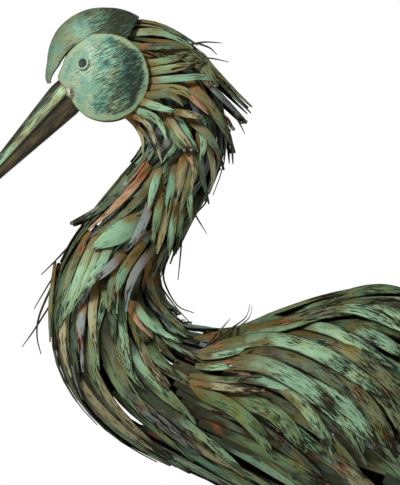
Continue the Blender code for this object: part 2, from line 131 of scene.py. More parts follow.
# Legs and base.
LEG_ROD = 0.013
ANKLE_KNOB = 0.019
TOE_ROD = 0.009
STANCE_WIDTH = 91
STRIDE = 58
HIP_HEIGHT = 505
ANKLE_SETBACK = 42
ANKLE_HEIGHT = 265
TOE_LENGTH = 0.088
HIND_TOE_LENGTH = 0.050
TOE_SPREAD = math.radians(36)
KNUCKLE_PLACE = 0.45
# Where a toe bends: how far along it, and its height and thickness there as shares of its rod.
TOE_BENDS = ((0.25, 0.45, 1.0), (KNUCKLE_PLACE, 0.40, 1.0), (0.8, 0.0, 0.7), (1.0, -0.2, 0.3))
TOE_ROOT = 0.2
TOE_ROOT_STEP = (0.07, 0.03)
ROD_SIDES = 6
PLATE_LENGTH = 0.34
PLATE_WIDTH = 0.24
PLATE_THICK = 0.006
PLATE_CORNER = 0.045
PLATE_EDGE = 0.0015

# Strips: widths, how much they overlap sideways, and how high their middles and tips stand.
STRIP_NECK = 0.0105
STRIP_BODY = 0.0185
STRIP_OVERLAP = 1.08
STRIP_MIDDLE_RISE = 0.0040
STRIP_TIP_RISE = 0.0080
STRIP_CAMBER = 0.14
ROOT_RISE = 0.0008
ROOT_TUCK = 0.16
WIRE_THICK = 0.0009
FAR_TUCK = 0.004
MOST_ASIDE = 0.1195
THROAT_FLATNESS = 1.0
THROAT_ENDS = 0.4
NOTCH_PLACE = (205, 335)
NOTCH_REACH = 0.07
NOTCH_FLATNESS = 0.9
TACK_RADIUS = 0.0021
TACK_LUMPS = (0.0014, 0.6)
BURNT_END = 0.15
WIRE_DARK = 0.3
TAIL_FAN_STRIPS = 11
TAIL_FAN_LENGTH = 0.165
TAIL_FAN_ARCH = 0.010
TAIL_FAN_ROUNDING = 0.16
TAIL_FAN_FILL = 0.86
TAIL_FAN_SCATTER = (0.9, 1.0)
TAIL_FAN_ROLL = (0.1, 0.2)
TAIL_FAN_STACKING = 1.5
TAIL_FAN_FACING = (0, 0, 4)

# How the strips of a row are strewn, mostly as lowest and highest shares: sideways by their spacing, their
# roots by the pitch, their lengths by three pitches, how far their tips fall on the neck and on the body.
SIDE_SCATTER = 0.25
ROOT_SCATTER = (-0.1, 0.9)
LENGTH_SCATTER = (0.62, 1.0)
TIP_FALL = (0.12, 0.62)
FALL_SCATTER = (0.5, 1.2)
FALL_AT_MIDDLE = 0.35
FALL_LEAST_DEPTH = 38
RISE_SCATTER = (0.6, 1.4)
WIDTH_SCATTER = (0.8, 1.2)
ROLL_SCATTER = 0.34
TWIST_SCATTER = 0.35
ROW_CLEARANCE = 0.0005
PAINT_LOTS = 50
SEED = 11

# Studio.
FLOOR_RADIUS = 7.0
SURROUND_LEVEL = 0.34
SURROUND_DIM = 0.22

# Paint tones of a strip, each the middle of its band in the tone ramp.
TEAL = 0.10
SAGE = 0.31
OLIVE = 0.46
BEIGE = 0.59
VIOLET = 0.71
CORAL = 0.83
UMBER = 0.94


def share(thousandths):
    """A length given in thousandths of the stature, in metres."""
    return STATURE * thousandths / 1000


def between(low, high, amount):
    return low + (high - low) * amount


def seen_at(column, row):
    """X and Z of a place in the photograph."""
    return PIXEL * (column - PIXEL_OF_X0), TOP_EDGE - PIXEL * row


def catmull_rom(before, start, end, after, amount):
    """A value on the smooth curve through four evenly stepped ones, between the middle two."""
    return 0.5 * (
        2 * start
        + (end - before) * amount
        + (2 * before - 5 * start + 4 * end - after) * amount**2
        + (3 * start - before - 3 * end + after) * amount**3
    )


def unit(vectors):
    """The directions of some vectors."""
    return vectors / np.linalg.norm(vectors, axis=-1, keepdims=True)


def smooth_route(spots, steps=12):
    """Close points on a smooth curve through a few spots."""
    spots = np.array(spots, float)
    padded = np.vstack((2 * spots[0] - spots[1], spots, 2 * spots[-1] - spots[-2]))
    amounts = np.arange(steps)[:, None] / steps
    spans = [catmull_rom(*padded[index : index + 4], amounts) for index in range(len(spots) - 1)]
    return np.vstack((*spans, spots[-1:]))


class Body:
    """The bird's surface by distance along its centre line, turn from the back, and rise above it."""

    STEPS = 24

    def __init__(self, stations):
        padded = np.array((stations[0], *stations, stations[-1]), float)
        amounts = np.arange(self.STEPS)[:, None] / self.STEPS
        spans = [catmull_rom(*padded[index : index + 4], amounts) for index in range(len(stations) - 1)]
        samples = share(np.vstack((*spans, stations[-1])))
        runs = np.hypot(*np.diff(samples[:, :2], axis=0).T)
        self.lengths = np.concatenate(([0.0], np.cumsum(runs)))
        self.samples = samples
        self.slopes = np.gradient(samples[:, :2], self.lengths, axis=0)
        self.length = self.lengths[-1]

    def at(self, distance):
        """X, Z, half depth, half width and the line's direction at a distance, straight on past its end."""
        columns = (*self.samples.T, *self.slopes.T)
        x, z, depth, width, run, climb = (np.interp(distance, self.lengths, column) for column in columns)
        over = np.maximum(np.asarray(distance) - self.length, 0.0)
        return x + run * over, z + climb * over, depth, width, run, climb

    def point(self, distance, turn, rise):
        """The place above the surface at a distance, a turn and a rise."""
        x, z, depth, width, run, climb = self.at(distance)
        size = np.hypot(run, climb)
        high = (depth + rise) * np.cos(turn)
        aside = (width + rise) * np.sin(turn)
        return np.stack((x - climb / size * high, aside, z + run / size * high), axis=-1)

    def nearest(self, spots):
        """The nearest sections to some X, Z spots, and how far each spot is on the back's side of them."""
        offsets = spots[:, None, :] - self.samples[None, :, :2]
        index = (offsets**2).sum(axis=2).argmin(axis=1)
        run, climb = unit(self.slopes[index]).T
        offset = offsets[range(len(spots)), index]
        return index, run, climb, offset[:, 1] * run - offset[:, 0] * climb

    def distance_at(self, column, row):
        """The distance of the section that shows at a place in the photograph."""
        return self.lengths[self.nearest(np.array([seen_at(column, row)]))[0][0]]

    def outward(self, points):
        """The surface's outward direction at points on or above it."""
        index, run, climb, high = self.nearest(points[:, (0, 2)])
        depth, width = self.samples[index, 2:].T
        high = high / depth**2
        return unit(np.stack((-climb * high, points[:, 1] / width**2, run * high), axis=-1))

    def on_side(self, column, row, rise, lift, side):
        """The point that shows at a place in the photograph, at a rise above a flank and lifted sideways."""
        spot = np.array([seen_at(column, row)])
        index, run, climb, high = self.nearest(spot)
        depth, width = self.samples[index[0], 2:]
        inside = max(1 - (high[0] / (depth + rise)) ** 2, 0.0)
        aside = (width + rise) * math.sqrt(inside) + lift
        middle = np.array(seen_at(PHOTO_SIZE[0] / 2, PHOTO_SIZE[1] / 2))
        x, z = middle + (spot[0] - middle) * (1 - aside / CAMERA_DISTANCE)
        if side > 0:
            inwards = math.copysign(FAR_TUCK, high[0])
            x += climb[0] * inwards
            z -= run[0] * inwards
        return x, side * aside, z


def fullness(depth):
    """0 where the body is as thin as the neck, 1 at its fullest."""
    thinnest = min(station[2] for station in CENTRE_LINE[:-2])
    fullest = max(station[2] for station in CENTRE_LINE)
    return min(max((depth - share(thinnest)) / (share(fullest) - share(thinnest)), 0.0), 1.0)


def row_places():
    """The distances at which the rows of strips start."""
    places = [0.0]
    while places[-1] < body.length:
        depth = float(body.at(places[-1])[2])
        places.append(places[-1] + share(between(ROW_PITCH_NECK, ROW_PITCH_BODY, fullness(depth))))
    return places


# Colours and materials.


def linear(code):
    """An sRGB hex colour as linear red, green, blue and alpha."""
    parts = [int(code[at : at + 2], 16) / 255 for at in (0, 2, 4)]
    return (*(part / 12.92 if part <= 0.04045 else ((part + 0.055) / 1.055) ** 2.4 for part in parts), 1.0)


def plug(tree, socket, value):
    """Link an output to a socket, or set the socket to a plain value."""
    if isinstance(value, bpy.types.NodeSocket):
        tree.links.new(value, socket)
    else:
        socket.default_value = value


def add(tree, kind, inputs=None, stops=None, **settings):
    """Add a shader node: inputs by socket, stops for a colour ramp, and settings for its properties."""
    made = tree.nodes.new(f"ShaderNode{kind}")
    for name, value in settings.items():
        setattr(made, name, value)
    for name, value in (inputs or {}).items():
        known = made.inputs[name] if isinstance(name, int) else None
        socket = known or next(s for s in made.inputs if name in (s.identifier, s.name))
        plug(tree, socket, value)
    if stops:
        ramp = made.color_ramp
        while len(ramp.elements) < len(stops):
            ramp.elements.new(1.0)
        for element, (place, code) in zip(ramp.elements, stops):
            element.position = place
            element.color = linear(code)
    return made


def new_material(name):
    """An empty node material and its shader."""
    material = bpy.data.materials.new(name)
    material.use_nodes = True
    tree = material.node_tree
    return material, tree, tree.nodes["Principled BSDF"]


def places_on(tree, slope):
    """The place on a piece, and the same place turned to the slope of the brush's strokes."""
    place = add(tree, "TexCoord").outputs["Object"]
    inputs = {"Vector": place, "Rotation": (0, slope, 0)}
    return place, add(tree, "Mapping", inputs, vector_type="TEXTURE").outputs[0]


def pattern(tree, place, size, detail=3.0, roughness=0.5):
    """A noise whose grains have a real size in metres: one for all the axes of a place, or one for each."""
    size = size if isinstance(size, tuple) else (size, size, size)
    space = add(tree, "Mapping", {"Vector": place, "Scale": size}, vector_type="TEXTURE")
    grains = {"Vector": space.outputs[0], "Scale": 1.0, "Detail": detail, "Roughness": roughness}
    return add(tree, "TexNoise", grains).outputs["Fac"]


def mask(tree, value, sways, start, end, most=1.0):
    """A soft mask: none where a value is at start, most at end. Other values sway it by their shares."""
    for other, amount in sways:
        value = add(tree, "Math", {0: other, 1: amount, 2: value}, operation="MULTIPLY_ADD").outputs[0]
    ends = {"Value": value, "From Min": start, "From Max": end, "To Max": most}
    return add(tree, "MapRange", ends, interpolation_type="SMOOTHSTEP").outputs[0]


def layered(tree, colour, layers):
    """Paint layers over a colour, each a mask and the paint it lays on."""
    for cover, paint in layers:
        paint = linear(paint) if isinstance(paint, str) else paint
        inputs = {"Factor_Float": cover, "A_Color": colour, "B_Color": paint}
        colour = add(tree, "Mix", inputs, data_type="RGBA").outputs[2]
    return colour


def dress(tree, shader, colour, relief, strength, sockets):
    """Wire a paint and its fine relief to the shader, and plug its other sockets."""
    plug(tree, shader.inputs["Base Color"], colour)
    bump = add(tree, "Bump", {"Height": relief, "Strength": strength, "Distance": RELIEF_DEPTH})
    plug(tree, shader.inputs["Normal"], bump.outputs[0])
    for name, value in sockets.items():
        plug(tree, shader.inputs[name], value)


def verdigris_strip(name, root_paint, shaded_side_paint, brushed_from, darkening):
    """Steel strip under brushed verdigris paint: chalky greens, ochre by the weld, black dragged along, black
    cut edges. Painted shade too: one long side darker, the edges darker where strips meet, a dark underside
    that is partly bare steel, an even darkening, and near-black roots on the lower strips.
    """
    material, tree, shader = new_material(name)
    coat = add(tree, "Attribute", attribute_name="coat")
    tone, along, across = add(tree, "SeparateColor", {"Color": coat.outputs["Color"]}).outputs
    grain = add(tree, "Attribute", attribute_name="grain").outputs["Vector"]
    cloud = pattern(tree, grain, (0.012, 0.035, 1.0))
    drag = pattern(tree, grain, (0.0012, 0.014, 1.0), detail=4.0, roughness=0.62)
    patch = pattern(tree, grain, (0.022, 0.040, 0.5), detail=2.0)
    tone_stops = (
        (0.0, "567b5e"), (0.10, "82a382"), (0.21, "8ba273"), (0.24, "50602f"), (0.38, "717e4e"),
        (0.41, "42370f"), (0.52, "6a5c2f"), (0.55, "84714a"), (0.64, "a08e68"), (0.66, "605f62"),
        (0.77, "8b8891"), (0.80, "914a2e"), (0.87, "9a6142"), (0.90, "281e0e"), (1.0, "45361a"),
    )
    paint = add(tree, "ValToRGB", {"Fac": tone}, tone_stops).outputs[0]
    cloud_stops = ((0.32, "26392e"), (0.50, "6a8c78"), (0.66, "7c7a46"))
    clouds = add(tree, "ValToRGB", {"Fac": cloud}, cloud_stops).outputs[0]
    # root_paint: ochre by the weld on the upper strips; on the lower strips it is near-black painted shade
    # where their roots lie covered.
    root = mask(tree, along, ((cloud, -0.8),), 0.06, -0.22, 0.85)
    coral = mask(tree, patch, (), 0.58, 0.74, 0.65)
    black = mask(tree, drag, ((along, 0.22), (patch, 0.50)), brushed_from, brushed_from + 0.09, 0.95)
    aside = add(tree, "Math", {0: across, 1: 0.5}, operation="SUBTRACT").outputs[0]
    aside = add(tree, "Math", {0: aside}, operation="ABSOLUTE").outputs[0]
    # Dark edges: partly the black cut edge, partly painted shade where the strips meet.
    edge = mask(tree, aside, ((drag, 0.10),), 0.44, 0.53, 0.9)
    # Painted shade: one long side of each strip is darker, as if shaded by its neighbour.
    low = mask(tree, across, ((cloud, 0.45),), 0.38, 0.12, 0.80)
    # The last layer is an even darkening of the whole strip: painted shade, strongest on the lower strips.
    layers = (
        (0.38, clouds), (root, root_paint), (low, shaded_side_paint), (coral, "8f5033"), (black, "0c0e05"),
        (edge, "120e07"), (darkening, "0f0c07"),
    )
    colour = layered(tree, paint, layers)
    # Where no paint is left the steel is dark: the burnt cut tips, the wires, and the undersides, which are
    # also painted shade beneath the strips.
    colour = layered(tree, linear("1d1610"), ((coat.outputs["Alpha"], colour),))
    rough = add(tree, "MapRange", {"Value": drag, "To Min": 0.42, "To Max": 0.68}).outputs[0]
    dress(tree, shader, colour, drag, 0.5, {"Roughness": rough, "Specular IOR Level": 0.08, "Metallic": 0.1})
    return material


def verdigris_disc(name, hatched_from, bloom_paint, darkening):
    """Beaten steel under verdigris paint: chalky, hatched in black with a dry brush, ochre at the rim."""
    material, tree, shader = new_material(name)
    place, slanted = places_on(tree, HATCH_SLOPE)
    hatch = pattern(tree, slanted, (0.010, 0.004, 0.0006), detail=4.0, roughness=0.6)
    cloud = pattern(tree, place, 0.016, detail=4.0)
    speckle = pattern(tree, place, 0.0013, detail=2.0)
    patch = pattern(tree, place, 0.024, detail=2.0)
    cloud_stops = ((0.30, "507c6c"), (0.45, "6b9986"), (0.58, "7f9d80"), (0.72, "989b76"))
    paint = add(tree, "ValToRGB", {"Fac": cloud}, cloud_stops).outputs[0]
    x = add(tree, "SeparateXYZ", {"Vector": place}).outputs["X"]
    ends = {"Value": x, "From Min": hatched_from, "From Max": hatched_from + 0.045}
    rearward = add(tree, "MapRange", ends).outputs[0]
    coat = add(tree, "Attribute", attribute_name="coat").outputs["Color"]
    outwards = add(tree, "SeparateColor", {"Color": coat}).outputs["Red"]
    border = mask(tree, outwards, ((cloud, 0.14), (patch, 0.30)), 1.06, 1.20, 0.85)
    black = mask(tree, hatch, ((rearward, 0.22), (border, -0.30), (patch, 0.30)), 0.68, 0.82, 0.93)
    dots = mask(tree, speckle, (), 0.58, 0.70, 0.6)
    bloom = mask(tree, patch, ((rearward, -1.6),), 0.30, 0.55, 0.75)
    rim = mask(tree, outwards, ((cloud, 0.08),), 1.005, 1.035, 0.85)
    layers = (
        (bloom, bloom_paint), (border, "93a881"), (dots, "34513f"), (black, "0d1710"), (rim, "6b5830"),
        (darkening, "3a3420"),
    )
    colour = layered(tree, paint, layers)
    rough = add(tree, "MapRange", {"Value": hatch, "To Min": 0.40, "To Max": 0.65}).outputs[0]
    sockets = {"Roughness": rough, "Specular IOR Level": 0.16, "Metallic": 0.2}
    dress(tree, shader, colour, hatch, 0.35, sockets)
    return material


def stained_bill(name, ground, wash, bloom, ink_from, parting_shadow_to):
    """Folded steel sheet stained in long strokes: satin, with ink-black dragged down the fold, and a painted
    shadow along its edge at the parting.
    """
    material, tree, shader = new_material(name)
    _, slanted = places_on(tree, -BILL_SLOPE)
    stroke = pattern(tree, slanted, (0.022, 0.004, 0.0012), detail=4.0, roughness=0.6)
    cloud = pattern(tree, slanted, (0.030, 0.010, 0.008))
    coat = add(tree, "Attribute", attribute_name="coat").outputs["Color"]
    fold, along, _ = add(tree, "SeparateColor", {"Color": coat}).outputs
    cloud_stops = ((0.35, ground), (0.50, wash), (0.65, bloom))
    paint = add(tree, "ValToRGB", {"Fac": cloud}, cloud_stops).outputs[0]
    root = mask(tree, along, ((cloud, 0.12),), 0.20, 0.10, 0.7)
    ink = mask(tree, stroke, ((fold, 0.16),), ink_from, ink_from + 0.08, 0.92)
    # Painted shadow: the sheet is darker near its edge at the parting, under the upper half's edge.
    parting_shadow = mask(tree, fold, (), parting_shadow_to, parting_shadow_to / 3, 0.85)
    colour = layered(tree, paint, ((root, "6a5736"), (ink, "15170f"), (parting_shadow, "17140c")))
    dress(tree, shader, colour, stroke, 0.35, {"Roughness": 0.48, "Metallic": 0.3})
    return material


def worn_steel(name, dark, middle, pale, roughness, metallic, size=0.012):
    """Bare steel gone dark outdoors: cloudy stains with paler rubbed places, and fine dark grains. Made
    near-black, it is also the painted shade in the eye's hollow.
    """
    material, tree, shader = new_material(name)
    place = add(tree, "TexCoord").outputs["Object"]
    cloud = pattern(tree, place, (size, size, size * 2), detail=5.0, roughness=0.6)
    speckle = pattern(tree, place, 0.0014)
    cloud_stops = ((0.34, dark), (0.52, middle), (0.70, pale))
    paint = add(tree, "ValToRGB", {"Fac": cloud}, cloud_stops).outputs[0]
    dots = mask(tree, speckle, (), 0.60, 0.68, 0.6)
    colour = layered(tree, paint, ((dots, dark),))
    dress(tree, shader, colour, speckle, 0.4, {"Roughness": roughness, "Metallic": metallic})
    return material


# Modelling helpers.


def deselect_all():
    bpy.ops.object.select_all(action="DESELECT")


def take_up(piece):
    """Make one object the only selected and active one."""
    deselect_all()
    piece.select_set(True)
    bpy.context.view_layer.objects.active = piece


def place_object(name, data):
    """A new object in the scene, at the origin."""
    placed = bpy.data.objects.new(name, data)
    bpy.context.scene.collection.objects.link(placed)
    return placed


def finish_piece(piece, material, nodes=()):
    """Lay on a material, and say what the piece rides on and stands for."""
    if not piece.data.materials:
        piece.data.materials.append(material)
    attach(piece, "root")
    if nodes:
        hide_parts(*nodes)


def new_primitive(operator, name, **settings):
    """A new primitive, alone selected, with a name."""
    deselect_all()
    operator(**settings)
    made = bpy.context.object
    made.name = name
    return made


def apply_modifiers(piece):
    take_up(piece)
    for modifier in list(piece.modifiers):
        bpy.ops.object.modifier_apply(modifier=modifier.name)


def shade(piece, angle=35):
    """Shade a piece smooth, but for edges sharper than an angle in degrees."""
    take_up(piece)
    bpy.ops.object.shade_smooth_by_angle(angle=math.radians(angle))


def thicken(piece, edge, offset=0.0):
    """Give a sheet of the head its wall, and break its edges."""
    wall = piece.modifiers.new("sheet", "SOLIDIFY")
    wall.thickness = HEAD_SHEET
    wall.offset = offset
    broken = piece.modifiers.new("edge", "BEVEL")
    broken.width = edge
    broken.segments = 2
    broken.angle_limit = math.radians(50)
    apply_modifiers(piece)


def new_grid(name, columns, rows):
    """A flat grid from -1 to 1 across and 0 to 1 along, ready to be shaped."""
    sizes = {"x_subdivisions": columns, "y_subdivisions": rows, "size": 2, "location": (0, 1, 0)}
    grid = new_primitive(bpy.ops.mesh.primitive_grid_add, name, **sizes)
    bpy.ops.transform.resize(value=(1, 0.5, 1), center_override=(0, 0, 0))
    bpy.ops.object.transform_apply(location=True, rotation=False, scale=True)
    return grid


def cut_blank(name, widths, columns=2, rows=8):
    """A flat steel strip a unit long and wide, snipped to the widths given from its root to its tip."""
    blank = new_grid(name, columns, rows)
    for vertex in blank.data.vertices:
        station = vertex.co.y * (len(widths) - 1)
        vertex.co.x *= float(np.interp(station, range(len(widths)), widths)) / 2
    wall = blank.modifiers.new("sheet", "SOLIDIFY")
    wall.thickness = 1.0
    wall.offset = 0.0
    apply_modifiers(blank)
    mesh = blank.data
    bpy.data.objects.remove(blank)
    return mesh


def pour(shape, mesh):
    """Add a mesh to a shape, and give its fresh points."""
    begun = len(shape.verts)
    shape.from_mesh(mesh)
    shape.verts.ensure_lookup_table()
    return shape.verts[begun:]


# Plumage.


class Plumage:
    """Strips that are bent copies of the blanks, joined into one piece.

    A point's coat holds its strip's tone, its place along and across it, and how much of the paint is left.
    Its grain is its place on the strip in metres, with a lot that keeps the strips' patterns apart.
    """

    def __init__(self, name):
        self.name = name
        self.shape = bmesh.new()
        self.coat = self.shape.verts.layers.float_color.new("coat")
        self.grain = self.shape.verts.layers.float_vector.new("grain")

    def lay(self, kind, route, width, tone, roll, facing=(0, 0, 0)):
        """Bend a blank along a route of close points. Its face looks off the body and partly another way."""
        sheet = WIRE_THICK if kind == "wire" else FEATHER_SHEET
        painted = WIRE_DARK if kind == "wire" else 1.0
        painted_end = BURNT_END if kind in ("cut", "round") else painted
        fresh = pour(self.shape, blanks[kind])
        across, along, up = np.array([vertex.co for vertex in fresh]).T
        runs = np.linalg.norm(np.diff(route, axis=0), axis=1)
        lengths = np.concatenate(([0.0], np.cumsum(runs)))
        length = lengths[-1]
        headings = unit(np.gradient(route, lengths, axis=0))
        middle = np.stack([np.interp(along * length, lengths, axis) for axis in route.T], axis=-1)
        ahead = unit(np.stack([np.interp(along * length, lengths, axis) for axis in headings.T], axis=-1))
        away = unit(body.outward(middle) + facing)
        side = unit(np.cross(ahead, away))
        normal = np.cross(side, ahead)
        angle = between(roll[0], roll[1], along)[:, None]
        leaning = side * np.cos(angle) + normal * np.sin(angle)
        upward = normal * np.cos(angle) - side * np.sin(angle)
        sag = -STRIP_CAMBER * width * (2 * across) ** 2
        spots = middle + leaning * (across * width)[:, None] + upward * (up * sheet + sag)[:, None]
        spots[:, 1] = np.clip(spots[:, 1], -MOST_ASIDE, MOST_ASIDE)
        lot = chance.uniform(0, PAINT_LOTS)
        for vertex, spot, u, v, face in zip(fresh, spots, along, across, up):
            vertex.co = spot
            left = painted_end if u > 0.99 else painted
            # The underside keeps no paint: dark bare steel, which also serves as painted shade beneath the
            # strip.
            vertex[self.coat] = (tone, u, v + 0.5, left if face > 0 else 0.0)
            vertex[self.grain] = (v * width, u * length, lot)

    def piece(self, material, nodes=()):
        """Make the joined strips an object of the scene."""
        mesh = bpy.data.meshes.new(self.name)
        self.shape.to_mesh(mesh)
        self.shape.free()
        made = place_object(self.name, mesh)
        shade(made)
        finish_piece(made, material, nodes)


def any_tone(amount):
    """A strip's paint for a random amount: mostly greens, then ochres, greys and a few corals."""
    bands = (
        (0.22, 0.0, 0.20), (0.42, 0.24, 0.38), (0.64, 0.41, 0.52), (0.73, 0.55, 0.64),
        (0.81, 0.66, 0.77), (0.85, 0.80, 0.87), (1.0, 0.90, 1.0),
    )
    low = 0.0
    for high, start, end in bands:
        if amount <= high:
            return between(start, end, (amount - low) / (high - low))
        low = high
    return UMBER


def body_route(knots, steps=16):
    """Close points over the body through three knots of distance, turn and rise."""
    amounts = np.linspace(0, 1, steps)
    curves = [np.polyval(np.polyfit((0, 0.5, 1), values, 2), amounts) for values in zip(*knots)]
    return body.point(*curves)


def strip_row(rows, first, material, node):
    """The strips of one row, standing for the comb-cut sheet of the same name."""
    plumage = Plumage(f"{node}_strips")
    start, end = rows[first], rows[first + 3]
    pitch = rows[first + 1] - start
    depth, girth_width = (float(value) for value in body.at(start + pitch)[2:4])
    full = fullness(depth)
    width = between(STRIP_NECK, STRIP_BODY, full)
    girth = math.tau * math.sqrt((depth**2 + girth_width**2) / 2)
    count = round(girth / (width * STRIP_OVERLAP))
    for index in range(count):
        turn = math.tau * (index + chance.uniform(-SIDE_SCATTER, SIDE_SCATTER)) / count
        root = start + pitch * chance.uniform(*ROOT_SCATTER)
        length = (end - start) * chance.uniform(*LENGTH_SCATTER)
        fall = between(*TIP_FALL, full) * chance.uniform(*FALL_SCATTER)
        radius = max(float(body.at(root)[2]), share(FALL_LEAST_DEPTH))
        drift = fall * math.sin(turn) * length / radius
        low = FEATHER_SHEET * (1 + 2 * (index % 2)) + ROW_CLEARANCE
        flat = THROAT_FLATNESS * max(1 - full / THROAT_ENDS, 0.0) * (1 - math.cos(turn)) / 2
        dip = NOTCH_FLATNESS * math.exp(-(((root + length / 2 - notch) / NOTCH_REACH) ** 2))
        dip *= (1 + math.cos(turn)) / 2
        swing = chance.uniform(*RISE_SCATTER) * (1 - flat) * (1 - dip)
        knots = (
            (root, turn, low),
            (root + length * 0.5, turn + drift * FALL_AT_MIDDLE, low + STRIP_MIDDLE_RISE * swing),
            (root + length, turn + drift, low + STRIP_TIP_RISE * swing),
        )
        kind = chance.choice(("leaf", "cut", "sword"))
        roll = chance.uniform(-ROLL_SCATTER, ROLL_SCATTER)
        twist = roll + chance.uniform(-TWIST_SCATTER, TWIST_SCATTER)
        wide = width * chance.uniform(*WIDTH_SCATTER)
        plumage.lay(kind, body_route(knots), wide, any_tone(chance.random()), (roll, twist))
    plumage.piece(material, (node,))


def strip_rows(material):
    """All the rows, from the neck to the tail, in the order of the sheets that they stand for."""
    rows = row_places()
    regions = ("neck", "breast", "body", "tail")
    nodes = [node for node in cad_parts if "_feathers_" in node]
    nodes.sort(key=lambda node: (regions.index(node.split("_")[0]), node))
    for first, node in enumerate(nodes):
        strip_row(rows, first, material, node)


# Strips listed one by one, from the lowest layer to the topmost. Each has its blank, paint tone, width in
# pixels and the places in the photograph that its middle runs through. Some have a roll at root and tip in
# degrees.
NAPE_STRIPS = (
    ("sword", OLIVE, 10, ((112, 30), (135, 22), (165, 27), (198, 45)), 0, 10),
    ("sword", TEAL, 9, ((120, 36), (148, 31), (176, 37), (207, 57)), 0, -10),
    ("cut", OLIVE + 0.05, 15, ((138, 50), (180, 52), (203, 66), (216, 86))),
    ("sword", OLIVE + 0.06, 9, ((140, 40), (189, 46), (210, 65), (232, 88), (252, 107)), 5, 0),
    ("sword", UMBER, 5, ((206, 66), (226, 88), (251, 113))),
    ("cut", VIOLET, 8, ((198, 72), (217, 92), (232, 107), (246, 122)), 0, 10),
    ("leaf", UMBER + 0.05, 8, ((138, 47), (163, 46), (190, 47))),
    ("leaf", SAGE, 8, ((138, 65), (172, 59), (193, 53))),
    ("leaf", SAGE + 0.05, 9, ((139, 73), (180, 67), (208, 61))),
    ("sword", TEAL, 8, ((138, 82), (181, 78), (203, 77), (227, 84))),
    ("leaf", OLIVE + 0.05, 10, ((139, 90), (176, 89), (196, 99), (209, 114))),
    ("leaf", CORAL, 8, ((172, 88), (184, 90), (197, 102), (209, 115))),
    ("leaf", TEAL - 0.08, 11, ((174, 114), (186, 134), (198, 152))),
    ("sword", OLIVE - 0.03, 11, ((190, 83), (208, 103), (224, 127), (235, 153))),
    ("sword", UMBER, 5, ((222, 116), (231, 140), (233, 164)), 0, 20),
    ("cut", UMBER, 6, ((220, 110), (227, 119), (233, 129))),
    ("sword", BEIGE + 0.03, 7, ((206, 138), (212, 160), (213, 180), (209, 194))),
    ("sword", UMBER, 8, ((199, 130), (200, 155), (203, 178), (209, 204)), 0, 20),
    ("sword", BEIGE, 8, ((191, 140), (195, 165), (191, 192))),
    ("leaf", TEAL, 8, ((199, 126), (204, 142), (200, 162))),
    ("sword", UMBER + 0.06, 10, ((186, 116), (206, 133), (217, 151), (224, 170))),
    ("leaf", OLIVE, 10, ((140, 99), (164, 93), (176, 98), (183, 106))),
    ("leaf", TEAL, 9, ((134, 99), (162, 108), (178, 112))),
    ("cut", BEIGE, 8, ((176, 112), (188, 114), (201, 117))),
    ("cut", BEIGE - 0.02, 8, ((167, 114), (177, 130), (192, 150))),
    ("cut", SAGE, 9, ((165, 125), (175, 139), (185, 150))),
    ("leaf", TEAL + 0.05, 9, ((128, 108), (153, 117), (162, 127), (166, 140))),
    ("leaf", CORAL, 7, ((184, 148), (190, 158), (193, 167))),
    ("wire", UMBER, 2, ((192, 44), (205, 42), (222, 43))),
    ("wire", UMBER, 2, ((200, 44), (210, 48), (217, 55))),
    ("wire", UMBER, 2, ((190, 60), (208, 58), (229, 62))),
    ("wire", UMBER, 2, ((234, 113), (240, 124), (245, 134))),
)
THROAT_STRIPS = (
    ("sword", BEIGE, 5, ((124, 116), (134, 124), (142, 138), (143, 156))),
    ("sword", UMBER, 4, ((130, 117), (143, 132), (150, 146), (141, 162), (127, 182))),
    ("sword", BEIGE - 0.02, 6, ((126, 114), (145, 122), (155, 141), (162, 163))),
)
NECK_STRIPS = (
    ("cut", UMBER, 8, ((147, 155), (128, 184), (102, 207), (72, 223)), 10, 20),
    ("sword", VIOLET - 0.04, 5, ((150, 152), (136, 172), (112, 196), (80, 221))),
    ("sword", CORAL + 0.03, 9, ((152, 160), (137, 182), (115, 206), (88, 230))),
    ("sword", OLIVE, 9, ((160, 163), (146, 190), (122, 215), (98, 235))),
    ("leaf", TEAL - 0.02, 9, ((160, 166), (154, 186), (148, 209))),
    ("leaf", BEIGE - 0.03, 11, ((186, 148), (181, 176), (175, 206))),
    ("sword", OLIVE + 0.04, 9, ((194, 153), (188, 182), (179, 216))),
    ("leaf", TEAL - 0.08, 9, ((176, 164), (171, 188), (166, 215))),
    ("leaf", SAGE, 9, ((162, 190), (157, 218), (152, 247))),
    ("leaf", BEIGE, 9, ((169, 200), (163, 230), (157, 254))),
    ("leaf", TEAL + 0.05, 9, ((178, 202), (172, 230), (169, 257))),
    ("sword", SAGE - 0.05, 7, ((184, 202), (180, 228), (176, 254))),
    ("leaf", TEAL + 0.08, 7, ((188, 176), (190, 200), (191, 223))),
    ("leaf", TEAL - 0.02, 24, ((146, 217), (122, 231), (92, 248))),
    ("leaf", VIOLET, 10, ((152, 198), (142, 226), (126, 252))),
    ("leaf", OLIVE, 11, ((122, 256), (113, 284), (108, 312))),
    ("sword", TEAL - 0.08, 11, ((142, 246), (126, 267), (117, 290), (117, 314))),
    ("sword", VIOLET + 0.02, 10, ((153, 248), (138, 269), (129, 288), (126, 312))),
    ("leaf", OLIVE + 0.04, 9, ((86, 236), (71, 270), (61, 304))),
    ("leaf", TEAL + 0.06, 10, ((96, 236), (79, 275), (64, 320))),
    ("leaf", TEAL + 0.09, 10, ((104, 238), (89, 275), (68, 315))),
    ("cut", TEAL, 10, ((112, 240), (100, 266), (84, 292))),
    ("cut", VIOLET + 0.04, 10, ((122, 255), (109, 268), (96, 279))),
    ("wire", UMBER, 2, ((203, 188), (207, 200), (193, 217))),
    ("wire", SAGE, 2, ((187, 195), (195, 214), (207, 234))),
    ("wire", UMBER, 2, ((183, 222), (181, 250), (178, 280))),
)
